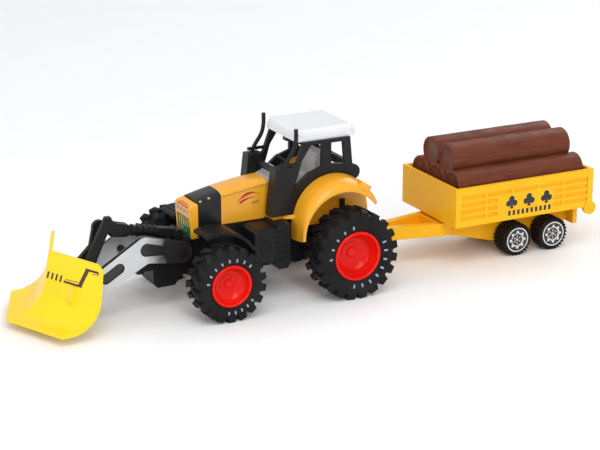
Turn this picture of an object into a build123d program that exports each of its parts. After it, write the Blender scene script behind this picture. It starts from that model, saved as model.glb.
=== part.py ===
from build123d import *
import math
import os

os.makedirs("parts", exist_ok=True)

# Toy farm tractor with a V plough on loader arms and a log trailer, in mm.
# +X is forward, +Y the tractor's left, +Z up; the origin is on the ground below the front axle.

# driving sizes: tractor
wheelbase = 88.0
front_tyre_r = 23.4
rear_tyre_r = 28.5
front_rim_r = 13.4
rear_rim_r = 16.0
front_track_y = 52.6
rear_track_y = 51.0
front_tyre_w = 18.4
rear_tyre_w = 20.0
lug_h = 2.2
hood_w = 22.0
hood_top_front = 64.6
hood_top_rear = 72.4
hood_bottom = 49.4
hood_rear_x = -45.5
nose_back_x = 3.0
nose_front_x = 9.2
nose_bottom = 42.8
chassis_w = 24.0
chassis_bottom = 18.0
cab_w = 42.0
cab_top = 98.6
roof_h = 7.0
wall = 2.2
fit = 0.1
play = 0.3

# driving sizes: loader and plough
boom_pivot = (15.3, 36.0)
boom_elbow = (40.0, 41.3)
blade_pivot = (73.5, 22.6)
link_rear = (14.0, 45.3)
link_front = (56.0, 53.5)
arm_y = 14.0
arm_t = 3.8
pin_r = 1.5
blade_lip_x = 126.0
blade_top_x = 95.0
blade_h = 40.2
blade_low = 5.6
blade_half = 44.5
blade_sweep = 0.42
blade_t = 2.4

# driving sizes: trailer
hitch_x = -122.0
bed_front_x = -169.0
bed_l = 107.6
bed_w = 68.6
bed_floor = 29.7
bed_h = 26.2
trailer_tyre_r = 11.2
trailer_rim_r = 8.8
trailer_axle_x = (-223.6, -252.2)
trailer_track_y = 25.6
trailer_tyre_w = 13.0
log_r = 10.0
log_l = 98.0

# placements that follow from the sizes above
front_axle = (0.0, front_tyre_r)
rear_axle = (-wheelbase, rear_tyre_r)
hood_y = hood_w / 2
chassis_y = chassis_w / 2
cab_y = cab_w / 2
bed_y = bed_w / 2
bed_rear_x = bed_front_x - bed_l
bed_top = bed_floor + bed_h


def side_plane(y):
    # upright plane at distance y left of the middle, drawn as X and Z, growing towards the middle
    return Plane.XZ.offset(-y)


def axle_plane(centre):
    # upright plane across the tractor through an axle, drawn as Y and height above the axle
    return Plane(origin=(centre[0], 0, centre[1]), x_dir=(0, 1, 0), z_dir=(1, 0, 0))


def axle_line(centre):
    return Axis((centre[0], 0, centre[1]), (0, 1, 0))


def save(piece, label):
    piece.part.label = label
    export_step(piece.part, f"parts/{label}.step")


# chassis: black moulded tub carrying both axles, with a slanted bumper plate at the front
chassis_rear_x = -110.0
chassis_front_x = 7.0
bumper_reach = 3.2
bumper_half = 8.4
axle_bore = pin_r + fit
clip_z = 58.0
clip_l = 3.2
clip_x = -91.6
clip_t = 1.6
clip_out_y = cab_y + 2.2
clip_arm_z = hood_bottom - 9.2
with BuildPart() as chassis:
    with BuildSketch(Plane.XZ) as chassis_side:
        with BuildLine():
            Polyline(
                (chassis_front_x, nose_bottom - 0.2),
                (nose_back_x, nose_bottom - 0.2),
                (nose_back_x, hood_bottom),
                (hood_rear_x, hood_bottom),
                (hood_rear_x, hood_bottom + 1),
                (chassis_rear_x + 4, hood_bottom + 1),
                (chassis_rear_x, hood_bottom - 6),
                (chassis_rear_x, chassis_bottom + 6),
                (chassis_rear_x + 5, chassis_bottom),
                (chassis_front_x, chassis_bottom),
                close=True,
            )
        make_face()
    extrude(amount=chassis_y, both=True)
    fillet(chassis.edges().filter_by(Axis.Y).group_by(Axis.Z)[0], radius=1.5)
    with BuildSketch(Plane.XZ):
        with BuildLine():
            Polyline(
                (chassis_front_x, nose_bottom - 0.2),
                (chassis_front_x + bumper_reach, nose_bottom - 4.6),
                (chassis_front_x + bumper_reach, chassis_bottom + 4),
                (chassis_front_x, chassis_bottom + 1),
                close=True,
            )
        make_face()
    extrude(amount=bumper_half, both=True)
    # clips that hold the fenders from inside
    for side in (1, -1):
        with BuildSketch(Plane.XY.offset(clip_arm_z)):
            with Locations((clip_x, side * (clip_out_y + chassis_y) / 2)):
                Rectangle(clip_l, clip_out_y - chassis_y)
        extrude(amount=3.0)
        with BuildSketch(Plane.XY.offset(clip_arm_z)):
            with Locations((clip_x, side * (clip_out_y - clip_t / 2))):
                Rectangle(clip_l, clip_t)
        extrude(amount=clip_z - clip_arm_z)
    # axle bearings
    for centre in (front_axle, rear_axle):
        with BuildSketch(Plane.XZ):
            with Locations(centre):
                Circle(axle_bore)
        extrude(amount=chassis_y + 4, both=True, mode=Mode.SUBTRACT)
save(chassis, "chassis")

# base screws: four round heads under the chassis
screw_r = 2.4
screw_xs = (-20.0, -76.0)
with BuildPart() as base_screws:
    with BuildSketch(Plane.XY.offset(chassis_bottom)):
        for screw_x in screw_xs:
            for screw_y in (-6.0, 6.0):
                with Locations((screw_x, screw_y)):
                    Circle(screw_r)
    extrude(amount=-1.0)
    chamfer(base_screws.faces().group_by(Axis.Z)[0].edges(), length=0.4)
    with BuildSketch(Plane.XY.offset(chassis_bottom - 1.0)):
        for screw_x in screw_xs:
            for screw_y in (-6.0, 6.0):
                with Locations((screw_x, screw_y)):
                    Rectangle(2.6, 0.6)
                    Rectangle(0.6, 2.6)
    extrude(amount=0.5, mode=Mode.SUBTRACT)
save(base_screws, "base_screws")

# hood: glossy cast shell, its top line rising to the cab, with a crowned top
hood_split_x = -12.4
hood_slope = (hood_top_rear - hood_top_front) / (nose_back_x - hood_rear_x)
crown = 2.0


def hood_top(x):
    return hood_top_front + hood_slope * (nose_back_x - x) + 1.3 * math.sin(
        math.pi * (nose_back_x - x) / (nose_back_x - hood_rear_x)
    )


def hood_section(x):
    # outline across the hood: upright sides and a softly crowned top
    top = hood_top(x)
    with BuildLine() as outline:
        Polyline((-hood_y, top), (-hood_y, hood_bottom), (hood_y, hood_bottom), (hood_y, top))
        Spline(
            (hood_y, top),
            (hood_y * 0.62, top + crown * 0.8),
            (0, top + crown),
            (-hood_y * 0.62, top + crown * 0.8),
            (-hood_y, top),
        )
    return outline.edges()


def hood_plane(x):
    return Plane(origin=(x, 0, 0), x_dir=(0, 1, 0), z_dir=(1, 0, 0))


# fender shape: a band whose section drops from the cab side to the outer lip
fender_x = -83.8
fender_lip_z = 40.0
fender_out_y = 40.0
fender_in_y = cab_y
fender_r = 25.8
fender_t = 2.0
# share of the width, rise of the arc, growth of its radius and height of the leg's foot
fender_steps = (
    (0.0, 8.5, 0.0, 36.5),
    (0.5, 7.8, 0.1, 37.4),
    (0.8, 5.2, 0.6, 38.6),
    (1.0, 0.6, 1.4, 39.8),
)
floor_z = hood_bottom + 1


def fender_section(rise, grow, leg_bottom):
    # crescent band with a straight front leg, drawn as X and Z
    inner = fender_r + grow
    outer = inner + fender_t
    cx = fender_x
    cz = fender_lip_z + rise
    end = math.radians(143.0)
    mid = math.radians(75.0)
    with BuildLine() as outline:
        Line((cx + outer, leg_bottom), (cx + outer, cz))
        ThreePointArc(
            (cx + outer, cz),
            (cx + outer * math.cos(mid), cz + outer * math.sin(mid)),
            (cx + outer * math.cos(end), cz + outer * math.sin(end)),
        )
        Line(
            (cx + outer * math.cos(end), cz + outer * math.sin(end)),
            (cx + inner * math.cos(end), cz + inner * math.sin(end)),
        )
        ThreePointArc(
            (cx + inner * math.cos(end), cz + inner * math.sin(end)),
            (cx + inner * math.cos(mid), cz + inner * math.sin(mid)),
            (cx + inner, cz),
        )
        Line((cx + inner, cz), (cx + inner, leg_bottom))
        Line((cx + inner, leg_bottom), (cx + outer, leg_bottom))
    return outline.edges()


# body casting: rear part of the hood, cab floor, foot boards and both rear fenders in one
cast_floor_t = 2.6
with BuildPart() as body_casting:
    for x in (hood_split_x, -29.0, hood_rear_x):
        with BuildSketch(hood_plane(x)):
            make_face(hood_section(x))
    loft()
    fillet(body_casting.faces().sort_by(Axis.X)[0].edges().group_by(Axis.Z)[-1], radius=1.5)
    with BuildSketch(Plane.XY.offset(floor_z)):
        with Locations(((hood_rear_x - 105) / 2 + 1, 0)):
            Rectangle(105 + hood_rear_x + 2, 2 * fender_in_y)
    extrude(amount=cast_floor_t)
    # foot boards in front of the fenders
    for side in (1, -1):
        with BuildSketch(Plane.XY.offset(floor_z)):
            with BuildLine():
                Polyline(
                    (hood_rear_x + 1, side * hood_y * 0.8),
                    (hood_rear_x - 1, side * hood_y),
                    (hood_rear_x - 4.5, side * (fender_in_y + 1)),
                    (fender_x + fender_r + 1, side * (fender_in_y + 4)),
                    (fender_x + fender_r, side * hood_y * 0.8),
                    close=True,
                )
            make_face()
        extrude(amount=cast_floor_t)
    # upright walls below the cab sides
    wall_arc = fender_r + 1.0
    for start_y in (fender_in_y, -fender_in_y + wall):
        with BuildSketch(side_plane(start_y)):
            with Locations((fender_x, fender_lip_z + fender_steps[0][1])):
                Circle(wall_arc)
            with Locations((fender_x, fender_lip_z + fender_steps[0][1] - wall_arc)):
                Rectangle(4 * wall_arc, 2 * wall_arc, mode=Mode.SUBTRACT)
            with Locations((fender_x, fender_lip_z + fender_steps[0][1] - 1.5)):
                Rectangle(2 * wall_arc, 7)
        extrude(amount=wall)
    for side in (1, -1):
        for reach, rise, grow, foot in fender_steps:
            fender_y = fender_in_y - 0.4 + (fender_out_y - fender_in_y + 0.4) * reach
            with BuildSketch(Plane.XZ.offset(-side * fender_y)):
                make_face(fender_section(rise, grow, foot))
        loft()
    # tail lamp housings on the back of the fenders
    for side in (1, -1):
        tail_angle = math.radians(124.0)
        tail_r = fender_r + fender_t
        tail_plane = Plane(
            origin=(
                fender_x + tail_r * math.cos(tail_angle),
                side * (fender_in_y + 13.5),
                fender_lip_z + 5.6 + tail_r * math.sin(tail_angle),
            ),
            x_dir=(-math.sin(tail_angle), 0, math.cos(tail_angle)),
            z_dir=(math.cos(tail_angle), 0, math.sin(tail_angle)),
        )
        with BuildSketch(tail_plane.offset(-2.0)):
            RectangleRounded(8, 10, 2)
        extrude(amount=4.4)
save(body_casting, "body_casting")

# hood band: black front section of the hood
with BuildPart() as hood_band:
    for x in (nose_back_x, -5.0, hood_split_x):
        with BuildSketch(hood_plane(x)):
            make_face(hood_section(x))
    loft()
save(hood_band, "hood_band")

# nose: moulded cap with a sloping brow over the grille recess
grille_top = 55.6
grille_half = hood_y - 1.0
with BuildPart() as nose:
    with BuildSketch(Plane.XZ):
        with BuildLine():
            Polyline(
                (nose_back_x, nose_bottom),
                (nose_back_x, hood_top_front + 0.4),
                (nose_front_x - 1.6, hood_top_front - 1.0),
                (nose_front_x, hood_top_front - 3.0),
                (nose_front_x - 1.2, nose_bottom),
                close=True,
            )
        make_face()
    extrude(amount=hood_y, both=True)
    fillet(nose.edges().filter_by(Axis.Z), radius=0.8)
    fillet(nose.edges().group_by(Axis.Z)[-1], radius=0.9)
    with BuildSketch(hood_plane(nose_front_x + 1)):
        with BuildLine():
            Polyline(
                (-grille_half, nose_bottom - 1),
                (-grille_half + 0.8, grille_top),
                (grille_half - 0.8, grille_top),
                (grille_half, nose_bottom - 1),
                close=True,
            )
        make_face()
    extrude(amount=-3.2, mode=Mode.SUBTRACT)
save(nose, "nose")

# grille: dark plate with slanted bars over its upper half
grille_back_x = nose_front_x - 2.2
with BuildPart() as grille:
    with BuildSketch(hood_plane(grille_back_x)):
        with BuildLine():
            Polyline(
                (-grille_half + 0.1, nose_bottom),
                (-grille_half + 0.8, grille_top - 0.1),
                (grille_half - 0.8, grille_top - 0.1),
                (grille_half - 0.1, nose_bottom),
                close=True,
            )
        make_face()
    extrude(amount=0.7)
    bar_step = (2 * grille_half - 3) / 6
    for index in range(6):
        bar_y = -grille_half + 2.6 + index * bar_step
        with BuildSketch(hood_plane(grille_back_x + 0.7)):
            with BuildLine():
                Polyline(
                    (bar_y, grille_top - 0.8),
                    (bar_y + 1.1, grille_top - 0.8),
                    (bar_y + 1.9, grille_top - 6.2),
                    (bar_y + 0.8, grille_top - 6.2),
                    close=True,
                )
            make_face()
        extrude(amount=0.5)
save(grille, "grille")

# headlamps: four small round studs on the brow
lamp_z = 59.6
with BuildPart() as headlamps:
    with BuildSketch(hood_plane(nose_front_x - 1.0)):
        for lamp_y in (-7.2, -2.4, 2.4, 7.2):
            with Locations((lamp_y, lamp_z)):
                Circle(1.1)
    extrude(amount=1.5)
save(headlamps, "headlamps")

# front mudguards: curved black boards over the front wheels with a ribbed front
guard_r = 25.8
guard_t = 2.0
guard_out_y = 35.5
guard_in_y = chassis_y
guard_centre = (-1.5, front_tyre_r + 3.2)
guard_start = 66.0
guard_end = 152.0
guard_mid = (guard_start + guard_end) / 2


def guard_point(radius, degrees):
    angle = math.radians(degrees)
    return (guard_centre[0] + radius * math.cos(angle), guard_centre[1] + radius * math.sin(angle))


with BuildPart() as front_guard_left:
    with BuildSketch(side_plane(guard_out_y)):
        with BuildLine():
            ThreePointArc(
                guard_point(guard_r, guard_start),
                guard_point(guard_r, guard_mid),
                guard_point(guard_r, guard_end),
            )
            Line(guard_point(guard_r, guard_end), guard_point(guard_r - guard_t, guard_end))
            ThreePointArc(
                guard_point(guard_r - guard_t, guard_end),
                guard_point(guard_r - guard_t, guard_mid),
                guard_point(guard_r - guard_t, guard_start),
            )
            Line(guard_point(guard_r - guard_t, guard_start), guard_point(guard_r, guard_start))
        make_face()
    extrude(amount=guard_out_y - 15.4)
    # stay that joins the board to the chassis
    with BuildSketch(side_plane(16.0)):
        with Locations((-5.0, 47.6)):
            Rectangle(13, 5.6)
    extrude(amount=16.0 - guard_in_y)
    # ribs across the front of the board
    for index in range(6):
        rib_angle = guard_start + 4 + index * 6.5
        rib_x, rib_z = guard_point(guard_r, rib_angle)
        rib_plane = Plane(
            origin=(rib_x, guard_out_y - 1.2, rib_z),
            x_dir=(-math.sin(math.radians(rib_angle)), 0, math.cos(math.radians(rib_angle))),
            z_dir=(0, -1, 0),
        )
        with BuildSketch(rib_plane):
            Rectangle(1.2, 0.9)
        extrude(amount=guard_out_y - 15.4 - 2.4)
save(front_guard_left, "front_guard_left")
with BuildPart() as front_guard_right:
    mirror(front_guard_left.part, about=Plane.XZ)
save(front_guard_right, "front_guard_right")

# side tanks: black blocks beside the engine, with a ribbed rear column and a plain ring
tank_out_y = 31.0
tank_front_x = -25.4
tank_rear_x = -50.6
tank_top = floor_z - 0.2
tank_bottom = 26.0
column_x = -40.6
ring_centre = (-33.6, 37.2)
with BuildPart() as side_tank_left:
    with BuildSketch(side_plane(tank_out_y)):
        with BuildLine():
            Polyline(
                (tank_front_x, tank_bottom + 2),
                (tank_front_x, tank_top - 3),
                (tank_front_x - 3, tank_top - 1.4),
                (column_x, tank_top - 1.4),
                (column_x, tank_bottom),
                close=True,
            )
        make_face()
    extrude(amount=tank_out_y - chassis_y)
    fillet(side_tank_left.faces().sort_by(Axis.Y)[-1].edges(), radius=0.8)
    with BuildSketch(side_plane(tank_out_y - 0.6)):
        with BuildLine():
            Polyline(
                (column_x, tank_top - 4),
                (column_x - 1.5, tank_top),
                (tank_rear_x, tank_top),
                (tank_rear_x, tank_bottom - 2),
                (tank_rear_x + 2, tank_bottom - 5),
                (column_x - 2, tank_bottom - 5),
                (column_x, tank_bottom - 2),
                close=True,
            )
        make_face()
    extrude(amount=tank_out_y - 0.6 - chassis_y)
    # raised round badge
    with BuildSketch(side_plane(tank_out_y + 0.5)):
        with Locations(ring_centre):
            Circle(3.6)
            Circle(2.6, mode=Mode.SUBTRACT)
    extrude(amount=0.8)
    # ribs across the column
    for index in range(6):
        with BuildSketch(side_plane(tank_out_y + 0.2)):
            with Locations(((column_x + tank_rear_x) / 2, tank_top - 5.0 - index * 3.6)):
                Rectangle(6.6, 1.2)
        extrude(amount=1.2)
save(side_tank_left, "side_tank_left")
with BuildPart() as side_tank_right:
    mirror(side_tank_left.part, about=Plane.XZ)
save(side_tank_right, "side_tank_right")

# cab frame: black open frame of two sides, corner blocks, a sill and cross rails
arch_centre = (fender_x, fender_lip_z + fender_steps[0][1])
arch_r = fender_r + fender_t
trim_w = 6.4
side_t = 2.6
corner_in_y = 15.4
corner_top = 83.6
corner_top_x = -44.2
corner_back_x = -54.0
cab_floor = floor_z + cast_floor_t


def arch_point(radius, degrees):
    angle = math.radians(degrees)
    return (arch_centre[0] + radius * math.cos(angle), arch_centre[1] + radius * math.sin(angle))


with BuildPart() as cab_frame:
    with BuildSketch(side_plane(cab_y + side_t)) as cab_side:
        with BuildLine():
            Polyline(
                (-63.4, cab_top),
                (-57.4, 82.6),
                (-50.8, 80.0),
                (-49.6, cab_floor + 0.2),
                (fender_x + arch_r, cab_floor + 0.2),
                arch_point(arch_r, 20),
            )
            ThreePointArc(arch_point(arch_r, 20), arch_point(arch_r, 70), arch_point(arch_r, 128))
            Polyline(
                arch_point(arch_r, 128),
                (-98.2, 79.4),
                (-96.4, cab_top),
                (-63.4, cab_top),
            )
        make_face()
        # round lobe at the rear end, cut to follow the fender
        with Locations((-98.5, 75.2)):
            Circle(5.0)
        with Locations(arch_centre):
            Circle(arch_r, mode=Mode.SUBTRACT)
        # door opening
        with BuildLine():
            Polyline(
                (-68.6, cab_top - 2.4),
                (-62.3, 87.0),
                (-59.6, 78.0),
                arch_point(arch_r + trim_w * 0.8, 18),
                arch_point(arch_r + trim_w, 40),
                arch_point(arch_r + trim_w, 60),
                (-76.4, 81.4),
                (-76.4, cab_top - 2.4),
                close=True,
            )
        make_face(mode=Mode.SUBTRACT)
        # rear quarter opening
        with BuildLine():
            Polyline(
                (-83.0, cab_top - 2.4),
                (-83.0, 82.6),
                (-92.6, 81.4),
                (-91.4, cab_top - 2.4),
                close=True,
            )
        make_face(mode=Mode.SUBTRACT)
    extrude(amount=side_t)
    mirror(about=Plane.XZ)
    # rails across the cab: front header, rear header, sill and rear rail
    rail_span = 2 * cab_y + 1
    for rail_x, rail_z, rail_w, rail_h in (
        (-65.4, cab_top - 1.2, 4.0, 2.4),
        (-94.4, cab_top - 1.2, 3.6, 2.4),
        (-50.4, 78.4, 3.2, 3.0),
        (-97.4, 79.0, 3.2, 5.0),
    ):
        with BuildSketch(Plane.XZ):
            with Locations((rail_x, rail_z)):
                Rectangle(rail_w, rail_h)
        extrude(amount=rail_span / 2, both=True)
    # solid corner blocks each side of the hood, below the windscreen
    for start_y in (cab_y + side_t, -corner_in_y):
        with BuildSketch(side_plane(start_y)):
            with BuildLine():
                Polyline(
                    (-40.5, cab_floor + 0.2),
                    (corner_top_x, corner_top),
                    (corner_back_x, corner_top),
                    (corner_back_x, cab_floor + 0.2),
                    close=True,
                )
            make_face()
        extrude(amount=cab_y + side_t - corner_in_y)
    # tab below the front of the roof
    with BuildSketch(Plane.XY.offset(cab_top - 2.6)):
        with Locations((-61.6, 4.5)):
            Rectangle(3.6, 5.0)
    extrude(amount=2.6)
save(cab_frame, "cab_frame")

# roof: white moulded slab with a stepped edge and a soft crown
roof_front_x = -59.4
roof_rear_x = -101.6
roof_mid_x = (roof_front_x + roof_rear_x) / 2
roof_l = roof_front_x - roof_rear_x
roof_w = 2 * cab_y + 1.2
with BuildPart() as roof:
    with BuildSketch(Plane.XY.offset(cab_top)):
        with Locations((roof_mid_x, 0)):
            RectangleRounded(roof_l, roof_w, 3.0)
    extrude(amount=roof_h * 0.42)
    with BuildSketch(Plane.XY.offset(cab_top + roof_h * 0.42)):
        with Locations((roof_mid_x, 0)):
            RectangleRounded(roof_l - 1.4, roof_w - 1.4, 3.0)
    extrude(amount=roof_h * 0.58)
    fillet(roof.faces().sort_by(Axis.Z)[-1].edges(), radius=2.6)
    with BuildSketch(Plane.XY.offset(cab_top)):
        with Locations((roof_mid_x, 0)):
            RectangleRounded(roof_l - 14, roof_w - 14, 2.0)
    extrude(amount=2.0, mode=Mode.SUBTRACT)
save(roof, "roof")

# cab interior: pale moulding with the dash, floor and side linings
dash_x = -56.4
dash_half = corner_in_y - 0.6
dash_front_x = hood_rear_x - 2.0
lining_in = cab_y - wall - 1.8
with BuildPart() as cab_interior:
    with BuildSketch(Plane.XY.offset(cab_floor)):
        with Locations((-77.0, 0)):
            Rectangle(44, 2 * (cab_y - wall))
    extrude(amount=1.6)
    with BuildSketch(Plane.XZ):
        with BuildLine():
            Polyline(
                (dash_front_x, cab_floor),
                (dash_front_x, 71.0),
                (dash_x + 3.6, 73.4),
                (dash_x + 0.2, 75.2),
                (dash_x - 2.6, 76.6),
                (dash_x - 4.0, 72.0),
                (dash_x - 2.8, cab_floor),
                close=True,
            )
        make_face()
    extrude(amount=dash_half, both=True)
    fillet(cab_interior.edges().filter_by(Axis.Y).group_by(Axis.Z)[-1], radius=1.0)
    for start_y in (cab_y - wall, -lining_in):
        with BuildSketch(side_plane(start_y)):
            with BuildLine():
                Polyline(
                    (-99.0, cab_floor),
                    (-60.0, cab_floor),
                    (-64.0, 66.0),
                    (-70.0, 71.0),
                    (-92.0, 73.0),
                    (-99.0, 66.0),
                    close=True,
                )
            make_face()
        extrude(amount=1.8)
save(cab_interior, "cab_interior")

# seat: pale moulded chair on the cab floor
seat_half = 8.6
with BuildPart() as seat:
    with BuildSketch(Plane.XZ):
        with BuildLine():
            Polyline(
                (-67.0, cab_floor + 1.6),
                (-65.8, 72.4),
                (-68.0, 74.4),
                (-78.0, 73.2),
                (-80.2, 86.0),
                (-82.2, 87.0),
                (-86.0, 86.4),
                (-87.8, cab_floor + 1.6),
                close=True,
            )
        make_face()
    extrude(amount=seat_half, both=True)
    fillet(seat.edges().filter_by(Axis.Y).group_by(Axis.Z)[-1], radius=0.8)
    fillet(seat.faces().sort_by(Axis.Y)[-1].edges(), radius=0.7)
    fillet(seat.faces().sort_by(Axis.Y)[0].edges(), radius=0.7)
save(seat, "seat")

# steering wheel: thin rim, three spokes and a column into the dash
wheel_r = 7.2
wheel_centre = (-62.0, 80.6)
wheel_tilt = math.radians(45.0)
wheel_plane = Plane(
    origin=(wheel_centre[0], 0, wheel_centre[1]),
    x_dir=(0, 1, 0),
    z_dir=(-math.sin(wheel_tilt), 0, math.cos(wheel_tilt)),
)
with BuildPart() as steering_wheel:
    with BuildSketch(wheel_plane):
        Circle(wheel_r)
        Circle(wheel_r - 1.6, mode=Mode.SUBTRACT)
    extrude(amount=0.8, both=True)
    fillet(steering_wheel.edges(), radius=0.6)
    with BuildSketch(wheel_plane.offset(-0.6)):
        Circle(2.0)
        for spoke in range(3):
            with Locations(Rotation(0, 0, 90 + 120 * spoke)):
                with Locations((wheel_r / 2 - 0.4, 0)):
                    Rectangle(wheel_r - 0.8, 1.2)
    extrude(amount=1.2)
    with BuildSketch(wheel_plane.offset(-0.6)):
        Circle(1.2)
    extrude(amount=-5.8)
save(steering_wheel, "steering_wheel")

# side pipes: black pipes standing up from the cab's corner blocks
pipe_r = 1.3
pipe_y = cab_y + 1.6
pipe_path_points = (
    (-50.2, pipe_y, corner_top - 1.6),
    (-51.8, pipe_y, 86.6),
    (-57.2, pipe_y, 95.0),
    (-58.6, pipe_y, 101.5),
    (-58.6, pipe_y, 107.6),
)
with BuildPart() as side_pipe_left:
    with BuildLine() as pipe_path:
        Spline(*pipe_path_points, tangents=((-0.2, 0, 1), (0, 0, 1)))
    with BuildSketch(Plane(origin=pipe_path.line @ 0, z_dir=pipe_path.line % 0)):
        Circle(pipe_r)
    sweep()
    # stub that crosses the pipe and ties it to the cab corner
    with BuildSketch(Plane(origin=(-47.2, pipe_y, corner_top + 1.6), z_dir=(-1, 0, 0))):
        Circle(1.1)
    extrude(amount=12.2)
save(side_pipe_left, "side_pipe_left")
with BuildPart() as side_pipe_right:
    mirror(side_pipe_left.part, about=Plane.XZ)
save(side_pipe_right, "side_pipe_right")


# wheels: a deep dished rim inside a lugged tyre, both turned about the axle
hub_floor = 1.2


def rim_profile(radius, face_y, width, depth):
    # half section of a rim with a blind hub, drawn as Y and radius
    lip = 1.3
    hub_end = face_y - depth - hub_floor
    with BuildLine() as outline:
        Polyline(
            (face_y - width + 1.0, pin_r),
            (face_y - width + 1.0, radius - 1.0),
            (face_y - width + 2.0, radius),
            (face_y - lip, radius),
            (face_y - 0.2, radius - 0.4),
            (face_y, radius - 1.0),
            (face_y - 0.4, radius - 1.8),
            (face_y - depth * 0.45, radius - 2.6),
            (face_y - depth * 0.8, radius * 0.66),
            (face_y - depth, radius * 0.5),
            (face_y - depth, radius * 0.24),
            (face_y - depth + 1.2, radius * 0.2),
            (face_y - depth + 1.2, 0),
            (hub_end, 0),
            (hub_end, pin_r),
            close=True,
        )
    return outline.edges()


def tyre_profile(tyre_r, rim_r, face_y, width):
    # half section of a tyre body below the lugs, drawn as Y and radius
    inner = face_y - width
    body_r = tyre_r - lug_h
    shoulder = 3.0
    bulge = 0.4
    with BuildLine() as outline:
        Polyline((inner + 1.2, rim_r), (face_y - 1.2, rim_r))
        Spline(
            (face_y - 1.2, rim_r),
            (face_y + bulge - 0.4, rim_r + (body_r - rim_r) * 0.3),
            (face_y + bulge - 0.5, body_r - shoulder),
            (face_y - 1.6, body_r - 0.8),
            (face_y - shoulder - 0.6, body_r),
        )
        Line((face_y - shoulder - 0.6, body_r), (inner + shoulder + 0.6, body_r))
        Spline(
            (inner + shoulder + 0.6, body_r),
            (inner + 1.6, body_r - 0.8),
            (inner - bulge + 0.5, body_r - shoulder),
            (inner - bulge + 0.4, rim_r + (body_r - rim_r) * 0.3),
            (inner + 1.2, rim_r),
        )
    return outline.edges()


def build_rim(centre, radius, face_y, width, depth):
    with BuildPart() as rim:
        with BuildSketch(axle_plane(centre)):
            make_face(rim_profile(radius, face_y, width, depth))
        revolve(axis=axle_line(centre))
    return rim


def build_tyre(centre, tyre_r, rim_r, face_y, width, count):
    # turned body with slanted bars round the tread, alternating from each shoulder to the middle
    lug_w = 2 * math.pi * tyre_r / count * 0.7
    lug_root = 3.2
    root = tyre_r - lug_h - lug_root
    near = 0.4
    reach = width / 2 - 0.2
    slant = lug_w * 0.5
    with BuildPart() as tyre:
        with BuildSketch(axle_plane(centre)):
            make_face(tyre_profile(tyre_r, rim_r, face_y, width))
        revolve(axis=axle_line(centre))
        for index in range(2 * count):
            half = 1 if index % 2 else -1
            angle = math.radians(180 / count * index)
            out = (math.cos(angle), 0, math.sin(angle))
            base = (centre[0] + root * out[0], face_y - width / 2, centre[1] + root * out[2])
            corners = (
                (half * near, -lug_w * 0.3 + slant),
                (half * reach, -lug_w * 0.5),
                (half * reach, lug_w * 0.5),
                (half * near, lug_w * 0.3 + slant),
            )
            with BuildSketch(Plane(origin=base, x_dir=(0, 1, 0), z_dir=out)):
                with BuildLine():
                    # both halves run the same way round, so both bars grow outwards
                    Polyline(*corners[::half], close=True)
                make_face()
            extrude(amount=lug_h + lug_root - 0.15, taper=6)
    return tyre


wheel_sets = (
    ("front", front_axle, front_tyre_r, front_rim_r, front_track_y, front_tyre_w, 7.0, 18),
    ("rear", rear_axle, rear_tyre_r, rear_rim_r, rear_track_y, rear_tyre_w, 10.5, 20),
)
for place, centre, tyre_r, rim_r, face_y, width, depth, lug_count in wheel_sets:
    left_rim = build_rim(centre, rim_r, face_y, width, depth)
    save(left_rim, f"{place}_rim_left")
    with BuildPart() as right_rim:
        mirror(left_rim.part, about=Plane.XZ)
    save(right_rim, f"{place}_rim_right")
    left_tyre = build_tyre(centre, tyre_r, rim_r, face_y, width, lug_count)
    save(left_tyre, f"{place}_tyre_left")
    with BuildPart() as right_tyre:
        mirror(left_tyre.part, about=Plane.XZ)
    save(right_tyre, f"{place}_tyre_right")
    with BuildPart() as axle:
        with BuildSketch(Plane.XZ):
            with Locations(centre):
                Circle(pin_r)
        extrude(amount=face_y - depth - hub_floor, both=True)
    save(axle, f"{place}_axle")

# loader mount: black bracket on the front of the chassis with ears for the arms and the link
mount_y = arm_y - arm_t - 1.0
mount_back_x = chassis_front_x + bumper_reach
link_half = 2.9
with BuildPart() as loader_mount:
    with BuildSketch(Plane.XZ):
        with BuildLine():
            Polyline(
                (mount_back_x, 20.6),
                (13.0, 20.6),
                (16.8, 17.4),
                (19.0, 14.2),
                (30.6, 14.0),
                (33.4, 17.0),
                (33.4, 26.0),
                (43.0, 26.0),
                (43.0, 30.4),
                (22.0, 30.4),
                (20.4, 39.0),
                (17.6, 41.2),
                (mount_back_x + 0.6, 41.2),
                (mount_back_x, nose_bottom - 4.8),
                close=True,
            )
        make_face()
    extrude(amount=mount_y, both=True)
    # hook that points down at the front
    with BuildSketch(Plane.XZ):
        with Locations((40.6, 26.4)):
            Rectangle(4.4, 5.6)
    extrude(amount=mount_y * 0.7, both=True)
    # ears for the rear pin of the link
    with BuildSketch(Plane.XZ):
        with Locations((link_rear[0], link_rear[1] - 2)):
            Rectangle(6.0, 4.0)
        with Locations(link_rear):
            Circle(3.0)
    extrude(amount=link_half + play + 2.4, both=True)
    with BuildSketch(Plane.XZ):
        with Locations((link_rear[0] + 4, link_rear[1] + 1.1)):
            Rectangle(20, 10)
    extrude(amount=link_half + play, both=True, mode=Mode.SUBTRACT)
    with BuildSketch(Plane.XZ):
        with Locations(boom_pivot, link_rear):
            Circle(pin_r)
    extrude(amount=mount_y + 1, both=True, mode=Mode.SUBTRACT)
save(loader_mount, "loader_mount")

# boom pivot pin: steel pin through the bracket with a head at each end
pin_head = 0.8
with BuildPart() as boom_pivot_pin:
    with BuildSketch(Plane.XZ):
        with Locations(boom_pivot):
            Circle(pin_r)
    extrude(amount=arm_y + play, both=True)
    for head_y in (arm_y + play + pin_head, -arm_y - play):
        with BuildSketch(side_plane(head_y)):
            with Locations(boom_pivot):
                Circle(pin_r + 1.2)
        extrude(amount=pin_head)
save(boom_pivot_pin, "boom_pivot_pin")

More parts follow.
